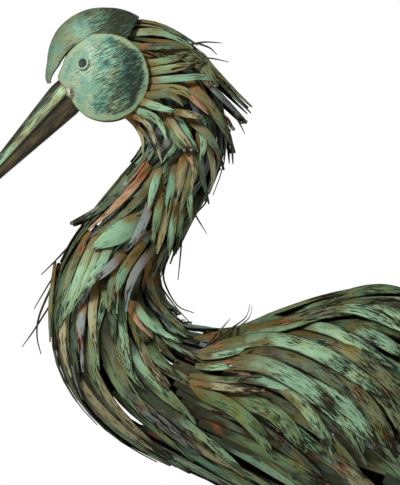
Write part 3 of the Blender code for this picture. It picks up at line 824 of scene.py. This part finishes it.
BREAST_STRIPS = (
    ("sword", OLIVE, 7, ((54, 268), (50, 305), (50, 342))),
    ("sword", BEIGE + 0.03, 9, ((66, 305), (62, 343), (72, 380))),
    ("sword", VIOLET, 10, ((86, 285), (80, 328), (83, 372))),
    ("sword", BEIGE, 10, ((96, 283), (92, 320), (97, 355))),
    ("leaf", SAGE, 9, ((103, 286), (109, 304), (117, 320))),
    ("sword", CORAL + 0.02, 7, ((126, 300), (138, 322), (152, 338))),
    ("sword", TEAL, 10, ((130, 296), (144, 317), (160, 331), (182, 343))),
    ("cut", UMBER, 10, ((156, 272), (163, 298), (179, 313))),
    ("sword", OLIVE - 0.02, 10, ((148, 258), (152, 290), (169, 316), (192, 337))),
    ("wire", UMBER, 2, ((163, 262), (159, 280), (172, 302), (192, 325))),
    ("wire", UMBER, 2, ((166, 264), (164, 280), (177, 305), (194, 313))),
    ("wire", UMBER, 2, ((66, 249), (54, 262), (41, 275))),
    ("wire", UMBER, 2, ((64, 259), (48, 285), (34, 309))),
    ("wire", UMBER, 3, ((52, 285), (39, 316), (37, 337), (41, 354))),
    ("wire", UMBER, 2, ((48, 308), (34, 330), (22, 347))),
)
BODY_STRIPS = (
    ("blade", UMBER + 0.04, 14, ((232, 350), (275, 353), (315, 369), (350, 396), (374, 430))),
    ("blade", OLIVE + 0.04, 15, ((336, 356), (370, 383), (395, 414), (412, 450))),
    ("blade", SAGE, 15, ((318, 396), (344, 420), (364, 452))),
    ("blade", TEAL, 15, ((296, 368), (334, 394), (360, 420), (382, 455))),
    ("blade", OLIVE, 17, ((318, 364), (354, 390), (381, 424), (397, 458))),
    ("blade", SAGE - 0.06, 16, ((190, 389), (224, 403), (252, 425), (272, 454))),
    ("blade", SAGE, 19, ((218, 395), (256, 404), (283, 422), (306, 452))),
    ("blade", TEAL + 0.08, 14, ((276, 382), (300, 402), (318, 426), (334, 455))),
    ("blade", TEAL, 20, ((218, 364), (255, 362), (290, 376), (325, 402), (367, 440))),
    ("blade", OLIVE + 0.04, 16, ((296, 333), (340, 347), (375, 369), (410, 404))),
    ("blade", TEAL + 0.05, 15, ((282, 322), (328, 328), (367, 350), (397, 369))),
    ("blade", TEAL - 0.03, 15, ((346, 323), (375, 336), (408, 358))),
    ("blade", TEAL + 0.03, 18, ((204, 353), (233, 343), (276, 338), (313, 349), (351, 371), (389, 403))),
    ("blade", TEAL + 0.02, 16, ((314, 309), (350, 307), (378, 315), (406, 332))),
    ("blade", TEAL + 0.08, 12, ((362, 301), (385, 309), (412, 324))),
    ("leaf", TEAL, 8, ((199, 357), (229, 353), (251, 345))),
    ("cut", TEAL, 8, ((198, 366), (216, 367), (231, 366))),
    ("leaf", OLIVE + 0.05, 7, ((195, 376), (229, 380), (262, 377))),
    ("round", BEIGE + 0.02, 8, ((195, 383), (229, 388), (263, 391))),
    ("wire", UMBER, 2, ((203, 350), (216, 335), (230, 319))),
    ("wire", UMBER, 2, ((204, 350), (229, 330), (246, 317), (250, 304))),
    ("wire", UMBER, 2, ((206, 349), (231, 332), (249, 318), (252, 306))),
)
SADDLE_STRIPS = (
    ("blade", OLIVE - 0.02, 16, ((240, 334), (290, 322), (335, 309), (378, 302), (412, 303))),
    ("blade", SAGE - 0.04, 15, ((198, 340), (240, 331), (277, 316), (313, 303), (351, 293), (392, 288))),
    ("blade", SAGE - 0.06, 12, ((330, 300), (358, 291), (384, 288), (410, 292))),
)


def hand_laid(name, strips, rise, lift, facing, material, nodes=()):
    """Strips given one by one, laid on both flanks, and wires on the near one, each a little above the one
    before.

    rise is how high they stand after the root and at the tip, lift what each layer adds, facing how far they
    face sideways.
    """
    plumage = Plumage(name)
    for side in (-1, 1):
        for layer, (kind, tone, width, places, *rolls) in enumerate(strips, 1):
            if kind == "wire" and side > 0:
                continue
            (x, y), (next_x, next_y) = places[:2]
            root = (x + ROOT_TUCK * (x - next_x), y + ROOT_TUCK * (y - next_y))
            last = len(places) - 1
            spots = [body.on_side(*root, ROOT_RISE, lift * layer / 2, side)]
            for index, (column, row) in enumerate(places[1:], 1):
                spots.append(body.on_side(column, row, between(*rise, index / last), lift * layer, side))
            roll = [math.radians(angle) for angle in rolls or (0, 0)]
            plumage.lay(kind, smooth_route(spots), width * PIXEL, tone, roll, (0, side * facing, 0))
            if kind in ("cut", "round"):
                tips.append(spots[-1])
    plumage.piece(material, nodes)


def tail_fan_strips(material):
    """The level strips that fill the open end of the tail."""
    plumage = Plumage("tail_fan_strips")
    start = row_places()[-4]
    for index in range(TAIL_FAN_STRIPS):
        across = 2 * index / (TAIL_FAN_STRIPS - 1) - 1
        reach = TAIL_FAN_LENGTH * (1 - TAIL_FAN_ROUNDING * across**2) * chance.uniform(*TAIL_FAN_SCATTER)
        x, z, _, half_width, run, climb = body.at(start + np.linspace(0, reach, 10))
        arch = TAIL_FAN_ARCH * (1 - across**2) + FEATHER_SHEET * (index % 2) * TAIL_FAN_STACKING
        route = np.stack((x - climb * arch, across * half_width * TAIL_FAN_FILL, z + run * arch), axis=-1)
        tone = any_tone(chance.random())
        roll = [amount * across for amount in TAIL_FAN_ROLL]
        plumage.lay("sword", route, STRIP_BODY, tone, roll, TAIL_FAN_FACING)
    plumage.piece(material, ("tail_fan",))


def strip_tacks(material):
    """The tack welds at the ends of the cut strips: copies of one lumpy bead, each turned its own way."""
    sizes = {"subdivisions": 3, "radius": TACK_RADIUS}
    bead = new_primitive(bpy.ops.mesh.primitive_ico_sphere_add, "strip_tacks", **sizes)
    lumpy(bead, *TACK_LUMPS)
    shape = bmesh.new()
    for tip in tips:
        turn = Matrix.Rotation(chance.uniform(0, math.tau), 4, "Y")
        bmesh.ops.transform(shape, matrix=Matrix.Translation(tip) @ turn, verts=pour(shape, bead.data))
    shape.to_mesh(bead.data)
    shape.free()
    shade(bead, 60)
    finish_piece(bead, material)


# Head.


def dome_height(radius):
    """How high the dome, a cap of a ball, stands at a radius."""
    return math.sqrt(DOME_BALL**2 - radius**2) - (DOME_BALL - CHEEK_DOME)


def cheek_frame(side):
    """The place and turn of a cheek: its flat rim in local XY, its dome out along local Z."""
    lean = math.asin((CHEEK_BACK_Y - CHEEK_FRONT_Y) / (2 * CHEEK_RADIUS))
    middle_y = side * (CHEEK_FRONT_Y + CHEEK_BACK_Y) / 2
    out = Vector((-math.sin(lean), side * math.cos(lean), 0))
    up = Vector((0, 0, 1))
    turn = Matrix((up.cross(out), up, out)).transposed().to_4x4()
    return Matrix.Translation((share(CHEEK_CENTRE[0]), middle_y, share(CHEEK_CENTRE[1]))) @ turn


def rim_reach(angle):
    """How far the cheek's rim reaches at an angle up from the tail's side, against its round."""
    places, reaches = zip(*CHEEK_OUTLINE)
    return float(np.interp(math.degrees(angle) % 360, places, reaches))


def dome_seat(side, place, standoff):
    """Where a small piece sits on a cheek: its origin on the dome, its Z along the dome's normal."""
    offset = Vector((-side * share(place[0]), share(place[1])))
    height = dome_height(offset.length)
    normal = Vector((offset.x, offset.y, height + DOME_BALL - CHEEK_DOME)).normalized()
    origin = Vector((offset.x, offset.y, height)) + normal * standoff
    turn = Vector((0, 0, 1)).rotation_difference(normal).to_matrix().to_4x4()
    return cheek_frame(side) @ Matrix.Translation(origin) @ turn


def coat_points(piece, values):
    """Write each point's coat colour, before the sheet gets its wall."""
    coat = piece.data.attributes.new("coat", "FLOAT_COLOR", "POINT")
    for item, value in zip(coat.data, values):
        item.color = value


def cheek_shell(side, hand, material):
    """A beaten domed disc: a cap of a ball, drawn out to a corner over the bill, with a broken rim."""
    sizes = {"segments": 96, "ring_count": 80, "radius": DOME_BALL}
    shell = new_primitive(bpy.ops.mesh.primitive_uv_sphere_add, f"{hand}_cheek_disc", **sizes)
    bpy.ops.object.mode_set(mode="EDIT")
    bpy.ops.mesh.select_all(action="SELECT")
    bpy.ops.mesh.bisect(plane_co=(0, 0, DOME_BALL - CHEEK_DOME), plane_no=(0, 0, 1), clear_inner=True)
    bpy.ops.mesh.select_all(action="SELECT")
    bpy.ops.transform.translate(value=(0, 0, CHEEK_DOME - DOME_BALL))
    bpy.ops.object.mode_set(mode="OBJECT")
    coats = []
    for vertex in shell.data.vertices:
        radius = math.hypot(vertex.co.x, vertex.co.y)
        amount = min(radius / CHEEK_RADIUS, 1)
        drawn = between(1, rim_reach(math.atan2(vertex.co.y, -side * vertex.co.x)), amount)
        dent = noise.noise(vertex.co / BEATEN_DENT) * BEATEN_DEPTH
        vertex.co.x *= drawn
        vertex.co.y *= drawn
        vertex.co.z = dome_height(radius * drawn) + (dent - BEATEN_DEPTH) * (1 - amount**4)
        coats.append((amount, 0, 0, 1))
    coat_points(shell, coats)
    thicken(shell, CHEEK_EDGE, offset=-1.0)
    shell.data.transform(cheek_frame(side))
    shade(shell)
    finish_piece(shell, material, (f"{hand}_cheek",))


def turned(name, profile):
    """A closed piece turned from a profile of radii and heights."""
    mesh = bpy.data.meshes.new(name)
    edges = [(index, index + 1) for index in range(len(profile) - 1)]
    mesh.from_pydata([(radius, 0, height) for radius, height in profile], edges, [])
    piece = place_object(name, mesh)
    take_up(piece)
    bpy.ops.object.mode_set(mode="EDIT")
    bpy.ops.mesh.select_all(action="SELECT")
    bpy.ops.mesh.spin(steps=TURNING_STEPS, angle=math.tau, center=(0, 0, 0), axis=(0, 0, 1))
    bpy.ops.mesh.select_all(action="SELECT")
    bpy.ops.mesh.remove_doubles(threshold=0.00001)
    bpy.ops.mesh.normals_make_consistent(inside=False)
    bpy.ops.object.mode_set(mode="OBJECT")
    return piece


def eye_cup(side, hand, rim, hollow):
    """A raised steel ring with a hollow inside it, painted near-black as painted shade for the depth of the
    hole.
    """
    outer, inner, top = EYE_RING + EYE_WIRE, EYE_RING - EYE_WIRE, EYE_RISE
    profile = (
        (0, 0), (outer, 0), (outer, top * 0.30), (outer * 0.97, top * 0.62), (outer * 0.88, top * 0.90),
        (outer * 0.80, top), (inner * 1.32, top * 0.90), (inner * 1.20, top * 0.55),
        (inner * 1.02, top * 0.22), (inner * 0.45, top * 0.10), (0, top * 0.08),
    )
    cup = turned(f"{hand}_eye_cup", profile)
    cup.data.materials.append(rim)
    cup.data.materials.append(hollow)
    # The hollow's faces get the near-black paint: painted shade standing for the depth of the hole.
    for face in cup.data.polygons:
        middle = face.center
        if math.hypot(middle.x, middle.y) < inner * 1.22 and middle.z > 0:
            face.material_index = 1
    bend = EYE_RING**2 / (2 * CHEEK_RADIUS)
    cup.data.transform(dome_seat(side, EYE_PLACE, DOME_STANDOFF + bend))
    shade(cup, 60)
    finish_piece(cup, rim, (f"{hand}_eye_ring",))


def lumpy(piece, grain, depth):
    """Press small lumps into a piece, as on a weld."""
    for vertex in piece.data.vertices:
        vertex.co *= 1 + depth * noise.noise(vertex.co / grain)


def bill_weld(side, hand, material):
    """The lumpy weld that holds a cheek to the bill."""
    sizes = {"subdivisions": 4, "radius": RIVET_RADIUS}
    bead = new_primitive(bpy.ops.mesh.primitive_ico_sphere_add, f"{hand}_bill_weld", **sizes)
    lumpy(bead, *WELD_LUMPS)
    bend = RIVET_RADIUS**2 / (2 * CHEEK_RADIUS)
    flat = Matrix.Diagonal((0.95, 1.0, RIVET_HEIGHT / 2 / RIVET_RADIUS, 1))
    bead.data.transform(dome_seat(side, RIVET_PLACE, RIVET_HEIGHT / 2 + DOME_STANDOFF + bend) @ flat)
    shade(bead, 60)
    finish_piece(bead, material, (f"{hand}_bill_rivet",))


def mandible(name, top, material, node):
    """Half of the bill: a sheet rolled over its ridge, the lower half's edges tucked inside the upper's."""
    fold = 1 if top else -1
    tuck = 0 if top else BILL_TUCK
    width = BILL_ROOT_WIDTH * (1.0 if top else LOWER_BILL_WIDTH)
    depth = BILL_ROOT_DEPTH / 2 - BILL_PARTING / 2 + tuck
    lift = BILL_PARTING / 2 + HEAD_SHEET / 2 - tuck
    along = Vector((-math.cos(BILL_SLOPE), 0, -math.sin(BILL_SLOPE)))
    ridge = Vector((-math.sin(BILL_SLOPE), 0, math.cos(BILL_SLOPE))) * fold
    root = Vector((share(BILL_ROOT[0]), 0, share(BILL_ROOT[1])))
    sheet = new_grid(name, 16, 48)
    places, sizes = zip(*BILL_TAPER)
    coats = []
    for vertex in sheet.data.vertices:
        across, amount = vertex.co.x, vertex.co.y
        distance = between(places[0], places[-1], amount)
        size = float(np.interp(distance, places, sizes))
        rise = max(1 - across**2, 0.0) ** BILL_ROUNDNESS
        vertex.co = root + along * BILL_LENGTH * distance + ridge * (lift + depth * size * rise)
        vertex.co.y = across * width / 2 * size
        coats.append((rise, amount, 0, 1))
    coat_points(sheet, coats)
    thicken(sheet, SHEET_EDGE)
    shade(sheet)
    finish_piece(sheet, material, (node,))


def crown_leaf(material):
    """An arched leaf over the crown. It stands off the cheeks at its tip and is tucked between them above."""
    centre = Vector((share(CHEEK_CENTRE[0]), 0, share(CHEEK_CENTRE[1])))
    fullest = (CHEEK_FRONT_Y + CHEEK_BACK_Y) / 2
    leaf = new_grid("crown_leaf", 16, 40)
    coat_points(leaf, [(0, 0, 0, 1)] * len(leaf.data.vertices))
    for vertex in leaf.data.vertices:
        across, amount = vertex.co.x, vertex.co.y
        angle = between(CROWN_FRONT, CROWN_REAR, amount)
        radial = Vector((math.cos(angle), 0, math.sin(angle)))
        tucked = min(max(amount / CROWN_TUCKED_BY, 0), 1)
        half_width = fullest * math.sin(math.pi * between(*CROWN_FULLNESS, amount))
        half_width *= between(1, CROWN_TUCKED_WIDTH, tucked)
        rim = CHEEK_RADIUS * rim_reach(min(angle, CHEEK_CORNER))
        edge = rim + between(CROWN_CLEARANCE, -CROWN_TUCK, tucked)
        top = rim + CROWN_CLEARANCE
        top += CROWN_RISE_SHOWN * math.sin(math.pi * between(*CROWN_ARCH, amount))
        vertex.co = centre + radial * between(edge, top, 1 - across**2)
        vertex.co.y = across * half_width
    thicken(leaf, SHEET_EDGE)
    shade(leaf)
    finish_piece(leaf, material, ("crown_plate",))


# Legs and base.


def rod(name, points, radii):
    """A smooth bent rod as a closed mesh."""
    data = bpy.data.curves.new(name, "CURVE")
    data.dimensions = "3D"
    data.bevel_depth = 1.0
    data.bevel_resolution = ROD_SIDES
    data.use_fill_caps = True
    route = smooth_route([(*point, radius) for point, radius in zip(points, radii)], 6)
    spline = data.splines.new("POLY")
    spline.points.add(len(route) - 1)
    for knot, (x, y, z, radius) in zip(spline.points, route):
        knot.co = (x, y, z, 1)
        knot.radius = radius
    take_up(place_object(name, data))
    bpy.ops.object.convert(target="MESH")
    bpy.ops.object.mode_set(mode="EDIT")
    bpy.ops.mesh.select_all(action="SELECT")
    bpy.ops.mesh.remove_doubles(threshold=0.00001)
    bpy.ops.object.mode_set(mode="OBJECT")
    return bpy.context.object


def fuse(main, others):
    """Join solids into one body."""
    for other in others:
        joined = main.modifiers.new(other.name, "BOOLEAN")
        joined.operation = "UNION"
        joined.object = other
    apply_modifiers(main)
    for other in others:
        bpy.data.objects.remove(other)


def leg(side, hand, material):
    """A bent rod leg with a swollen ankle, three toes ahead and one behind, and claws."""
    foot_x = side * share(STRIDE) / 2
    y = side * share(STANCE_WIDTH) / 2
    hip = Vector((foot_x, y, share(HIP_HEIGHT)))
    ankle = Vector((foot_x + share(ANKLE_SETBACK), y, share(ANKLE_HEIGHT)))
    foot = Vector((foot_x, y, PLATE_THICK + WELD_GAP + TOE_ROD / 2))
    thin, knob = LEG_ROD / 2, ANKLE_KNOB / 2
    points = (
        hip, ankle.lerp(hip, 0.5), ankle.lerp(hip, 0.16), ankle.lerp(hip, 0.05), ankle.lerp(foot, 0.05),
        ankle.lerp(foot, 0.14), ankle.lerp(foot, 0.6), foot,
    )
    radii = (thin, thin, thin, knob, knob, thin, thin, thin)
    shank = rod(f"{hand}_leg_rod", points, radii)
    toes = []
    for index, heading in enumerate((math.pi - TOE_SPREAD, math.pi, math.pi + TOE_SPREAD, 0.0)):
        length = HIND_TOE_LENGTH if heading == 0.0 else TOE_LENGTH
        ahead = Vector((math.cos(heading), math.sin(heading), 0))
        out, up = TOE_ROOT + TOE_ROOT_STEP[0] * index, TOE_ROOT_STEP[1] * index
        points = [foot + ahead * TOE_ROD * out + Vector((0, 0, TOE_ROD * up))]
        radii = [TOE_ROD / 2]
        for reach, height, thickness in TOE_BENDS:
            points.append(foot + ahead * length * reach + Vector((0, 0, TOE_ROD * height)))
            radii.append(TOE_ROD / 2 * thickness)
        toes.append(rod(f"toe_{index}", points, radii))
    fuse(shank, toes)
    shade(shank, 50)
    finish_piece(shank, material, (f"{hand}_leg",))


def base_plate(material):
    """A flat plate with round corners and broken edges."""
    sizes = {"size": 1, "location": (0, 0, PLATE_THICK / 2)}
    plate = new_primitive(bpy.ops.mesh.primitive_cube_add, "ground_plate", **sizes)
    bpy.ops.transform.resize(value=(PLATE_LENGTH, PLATE_WIDTH, PLATE_THICK))
    bpy.ops.object.transform_apply(location=True, rotation=False, scale=True)
    rounding = bmesh.new()
    rounding.from_mesh(plate.data)
    heights = {edge: abs(edge.verts[0].co.z - edge.verts[1].co.z) for edge in rounding.edges}
    upright = [edge for edge, height in heights.items() if height > PLATE_THICK / 2]
    bmesh.ops.bevel(rounding, geom=upright, offset=PLATE_CORNER, segments=14, affect="EDGES", profile=0.5)
    rounding.to_mesh(plate.data)
    rounding.free()
    edge = plate.modifiers.new("edge", "BEVEL")
    edge.width = PLATE_EDGE
    edge.segments = 3
    edge.angle_limit = math.radians(60)
    apply_modifiers(plate)
    shade(plate, 30)
    finish_piece(plate, material, ("base_plate",))


# Stage, light and camera.


def area_light(name, place, aim, size, power):
    """A square soft light, turned to a place."""
    light = bpy.data.lights.new(name, "AREA")
    light.shape = "SQUARE"
    light.size = size
    light.energy = power
    lamp = place_object(name, light)
    lamp.location = place
    lamp.rotation_euler = (Vector(aim) - Vector(place)).to_track_quat("-Z", "Y").to_euler()


def build_studio():
    """A pale floor, a grey surround that is white behind the figure, and soft lights."""
    sizes = {"vertices": 128, "radius": FLOOR_RADIUS, "fill_type": "NGON"}
    floor = new_primitive(bpy.ops.mesh.primitive_circle_add, "studio_floor", **sizes)
    material, tree, shader = new_material("matt_studio_paint")
    shader.inputs["Base Color"].default_value = linear("f4f4f2")
    shader.inputs["Roughness"].default_value = 0.9
    floor.data.materials.append(material)
    world = bpy.data.worlds.new("studio")
    world.use_nodes = True
    tree = world.node_tree
    heading = add(tree, "TexCoord").outputs["Generated"]
    _, behind, height = add(tree, "SeparateXYZ", {"Vector": heading}).outputs
    level = add(tree, "Math", {0: height}, operation="ABSOLUTE").outputs[0]
    ends = {"From Min": 0.14, "From Max": 0.34, "To Min": SURROUND_LEVEL, "To Max": SURROUND_DIM}
    inputs = {"Value": level, **ends}
    glow = add(tree, "MapRange", inputs, interpolation_type="SMOOTHSTEP").outputs[0]
    screen = mask(tree, behind, (), 0.93, 0.98)
    glow = add(tree, "Math", {0: glow, 1: screen}, operation="MAXIMUM").outputs[0]
    tree.links.new(glow, tree.nodes["Background"].inputs["Strength"])
    tree.nodes["Background"].inputs["Color"].default_value = (1, 1, 1, 1)
    bpy.context.scene.world = world
    bpy.context.scene.view_settings.view_transform = "Standard"
    target = (-0.15, 0, 0.75)
    area_light("key_light", (-1.7, -2.2, 2.6), target, 0.8, 130)
    area_light("fill_light", (2.4, -2.4, 1.0), target, 1.8, 10)
    area_light("back_light", (1.0, 2.6, 2.2), target, 1.6, 45)


def build_camera():
    """A level camera square to the bird's left side, framed as the photograph is."""
    middle_x, middle_z = seen_at(PHOTO_SIZE[0] / 2, PHOTO_SIZE[1] / 2)
    data = bpy.data.cameras.new("camera")
    data.lens = data.sensor_width * CAMERA_DISTANCE / (PHOTO_SIZE[1] * PIXEL)
    data.clip_end = 50
    camera = place_object("camera", data)
    camera.location = (middle_x, -CAMERA_DISTANCE, middle_z)
    camera.rotation_euler = (math.pi / 2, 0, 0)
    bpy.context.scene.camera = camera


body = Body(CENTRE_LINE)
notch = body.distance_at(*NOTCH_PLACE)
chance = random.Random(SEED)
tips = []
build_camera()
build_studio()
blanks = {
    "leaf": cut_blank("leaf_blank", (0.7, 0.95, 1.0, 0.95, 0.8, 0.55, 0.12)),
    "cut": cut_blank("cut_blank", (0.75, 0.95, 1.0, 1.0, 0.9, 0.75, 0.5)),
    "sword": cut_blank("sword_blank", (0.6, 0.9, 1.0, 0.9, 0.7, 0.45, 0.18)),
    "round": cut_blank("round_blank", (0.8, 0.9, 0.95, 1.0, 1.0, 0.9, 0.5)),
    "blade": cut_blank("blade_blank", (0.55, 0.85, 1.0, 1.0, 0.95, 0.75, 0.22), columns=4, rows=20),
    "wire": cut_blank("wire_blank", (0.9, 1.0, 0.9, 0.8, 0.6, 0.4, 0.15), columns=1, rows=14),
}
# The lower strips: near-black roots, a dark long side and an even darkening, all painted shade where they lie
# under the upper strips.
under_paint = verdigris_strip("brushed_verdigris_on_lower_strips", "1a1309", "241c0a", 0.90, 0.24)
strip_paint = verdigris_strip("brushed_verdigris_on_upper_strips", "6b5026", "574316", 0.92, 0.0)
blade_paint = verdigris_strip("brushed_verdigris_on_body_blades", "4f4119", "43350f", 0.87, 0.08)
strip_rows(under_paint)
hand_laid("nape_strips", NAPE_STRIPS, (0.008, 0.019), 0.0007, 1.2, strip_paint, ("crest_plumes",))
hand_laid("throat_strips", THROAT_STRIPS, (0.003, 0.010), 0.0090, 1.2, strip_paint)
hand_laid("neck_strips", NECK_STRIPS, (0.010, 0.014), 0.0004, 0.7, strip_paint)
hand_laid("breast_strips", BREAST_STRIPS, (0.010, 0.013), 0.0004, 0.7, strip_paint)
hand_laid("saddle_strips", SADDLE_STRIPS, (0.006, 0.008), 0.0010, 1.5, blade_paint)
hand_laid("body_strips", BODY_STRIPS, (0.009, 0.012), 0.0003, 0.5, blade_paint)
tail_fan_strips(blade_paint)

cheek_x = share(CHEEK_CENTRE[0])
disc_paint = verdigris_disc("dry_brushed_verdigris_on_beaten_disc", cheek_x - 0.018, "9dae93", 0.07)
crown_paint = verdigris_disc("dry_brushed_verdigris_on_crown", cheek_x - 0.036, "7a8460", 0.36)
# Near-black paint for the eye's hollow: painted shade, not soot.
shaded_hollow_paint = worn_steel("painted_shade_in_hollow", "0b100c", "1c2a22", "324a3d", 0.6, 0.2, 0.004)
weld = worn_steel("brushed_weld_bead", "2e2a1e", "8f8b74", "d2cdb6", 0.34, 0.5, 0.003)
strip_tacks(worn_steel("grey_tack_weld", "1c1a14", "6b6756", "a8a390", 0.40, 0.5, 0.003))
for side, hand in SIDES:
    cheek_shell(side, hand, disc_paint)
    eye_cup(side, hand, disc_paint, shaded_hollow_paint)
    bill_weld(side, hand, weld)
# The lower half is umber, and darker than the upper as painted shade of its downward face. Both halves paint
# a shadow at the parting.
olive_stain = stained_bill("olive_stained_bill", "4b4a2a", "67703f", "6f8f6c", 0.53, 0.12)
umber_and_shaded_stain = stained_bill("umber_and_shaded_bill_stain", "2b2414", "453820", "5a5230", 0.62, 0.36)
mandible("upper_bill_fold", True, olive_stain, "upper_bill")
mandible("lower_bill_fold", False, umber_and_shaded_stain, "lower_bill")
crown_leaf(crown_paint)

leg_steel = worn_steel("weathered_rod", "1b1912", "3c3524", "6b6a4c", 0.55, 0.5)
plate_steel = worn_steel("weathered_plate", "1d1c16", "37362a", "5f7263", 0.6, 0.4, 0.03)
for side, hand in SIDES:
    leg(side, hand, leg_steel)
base_plate(plate_steel)
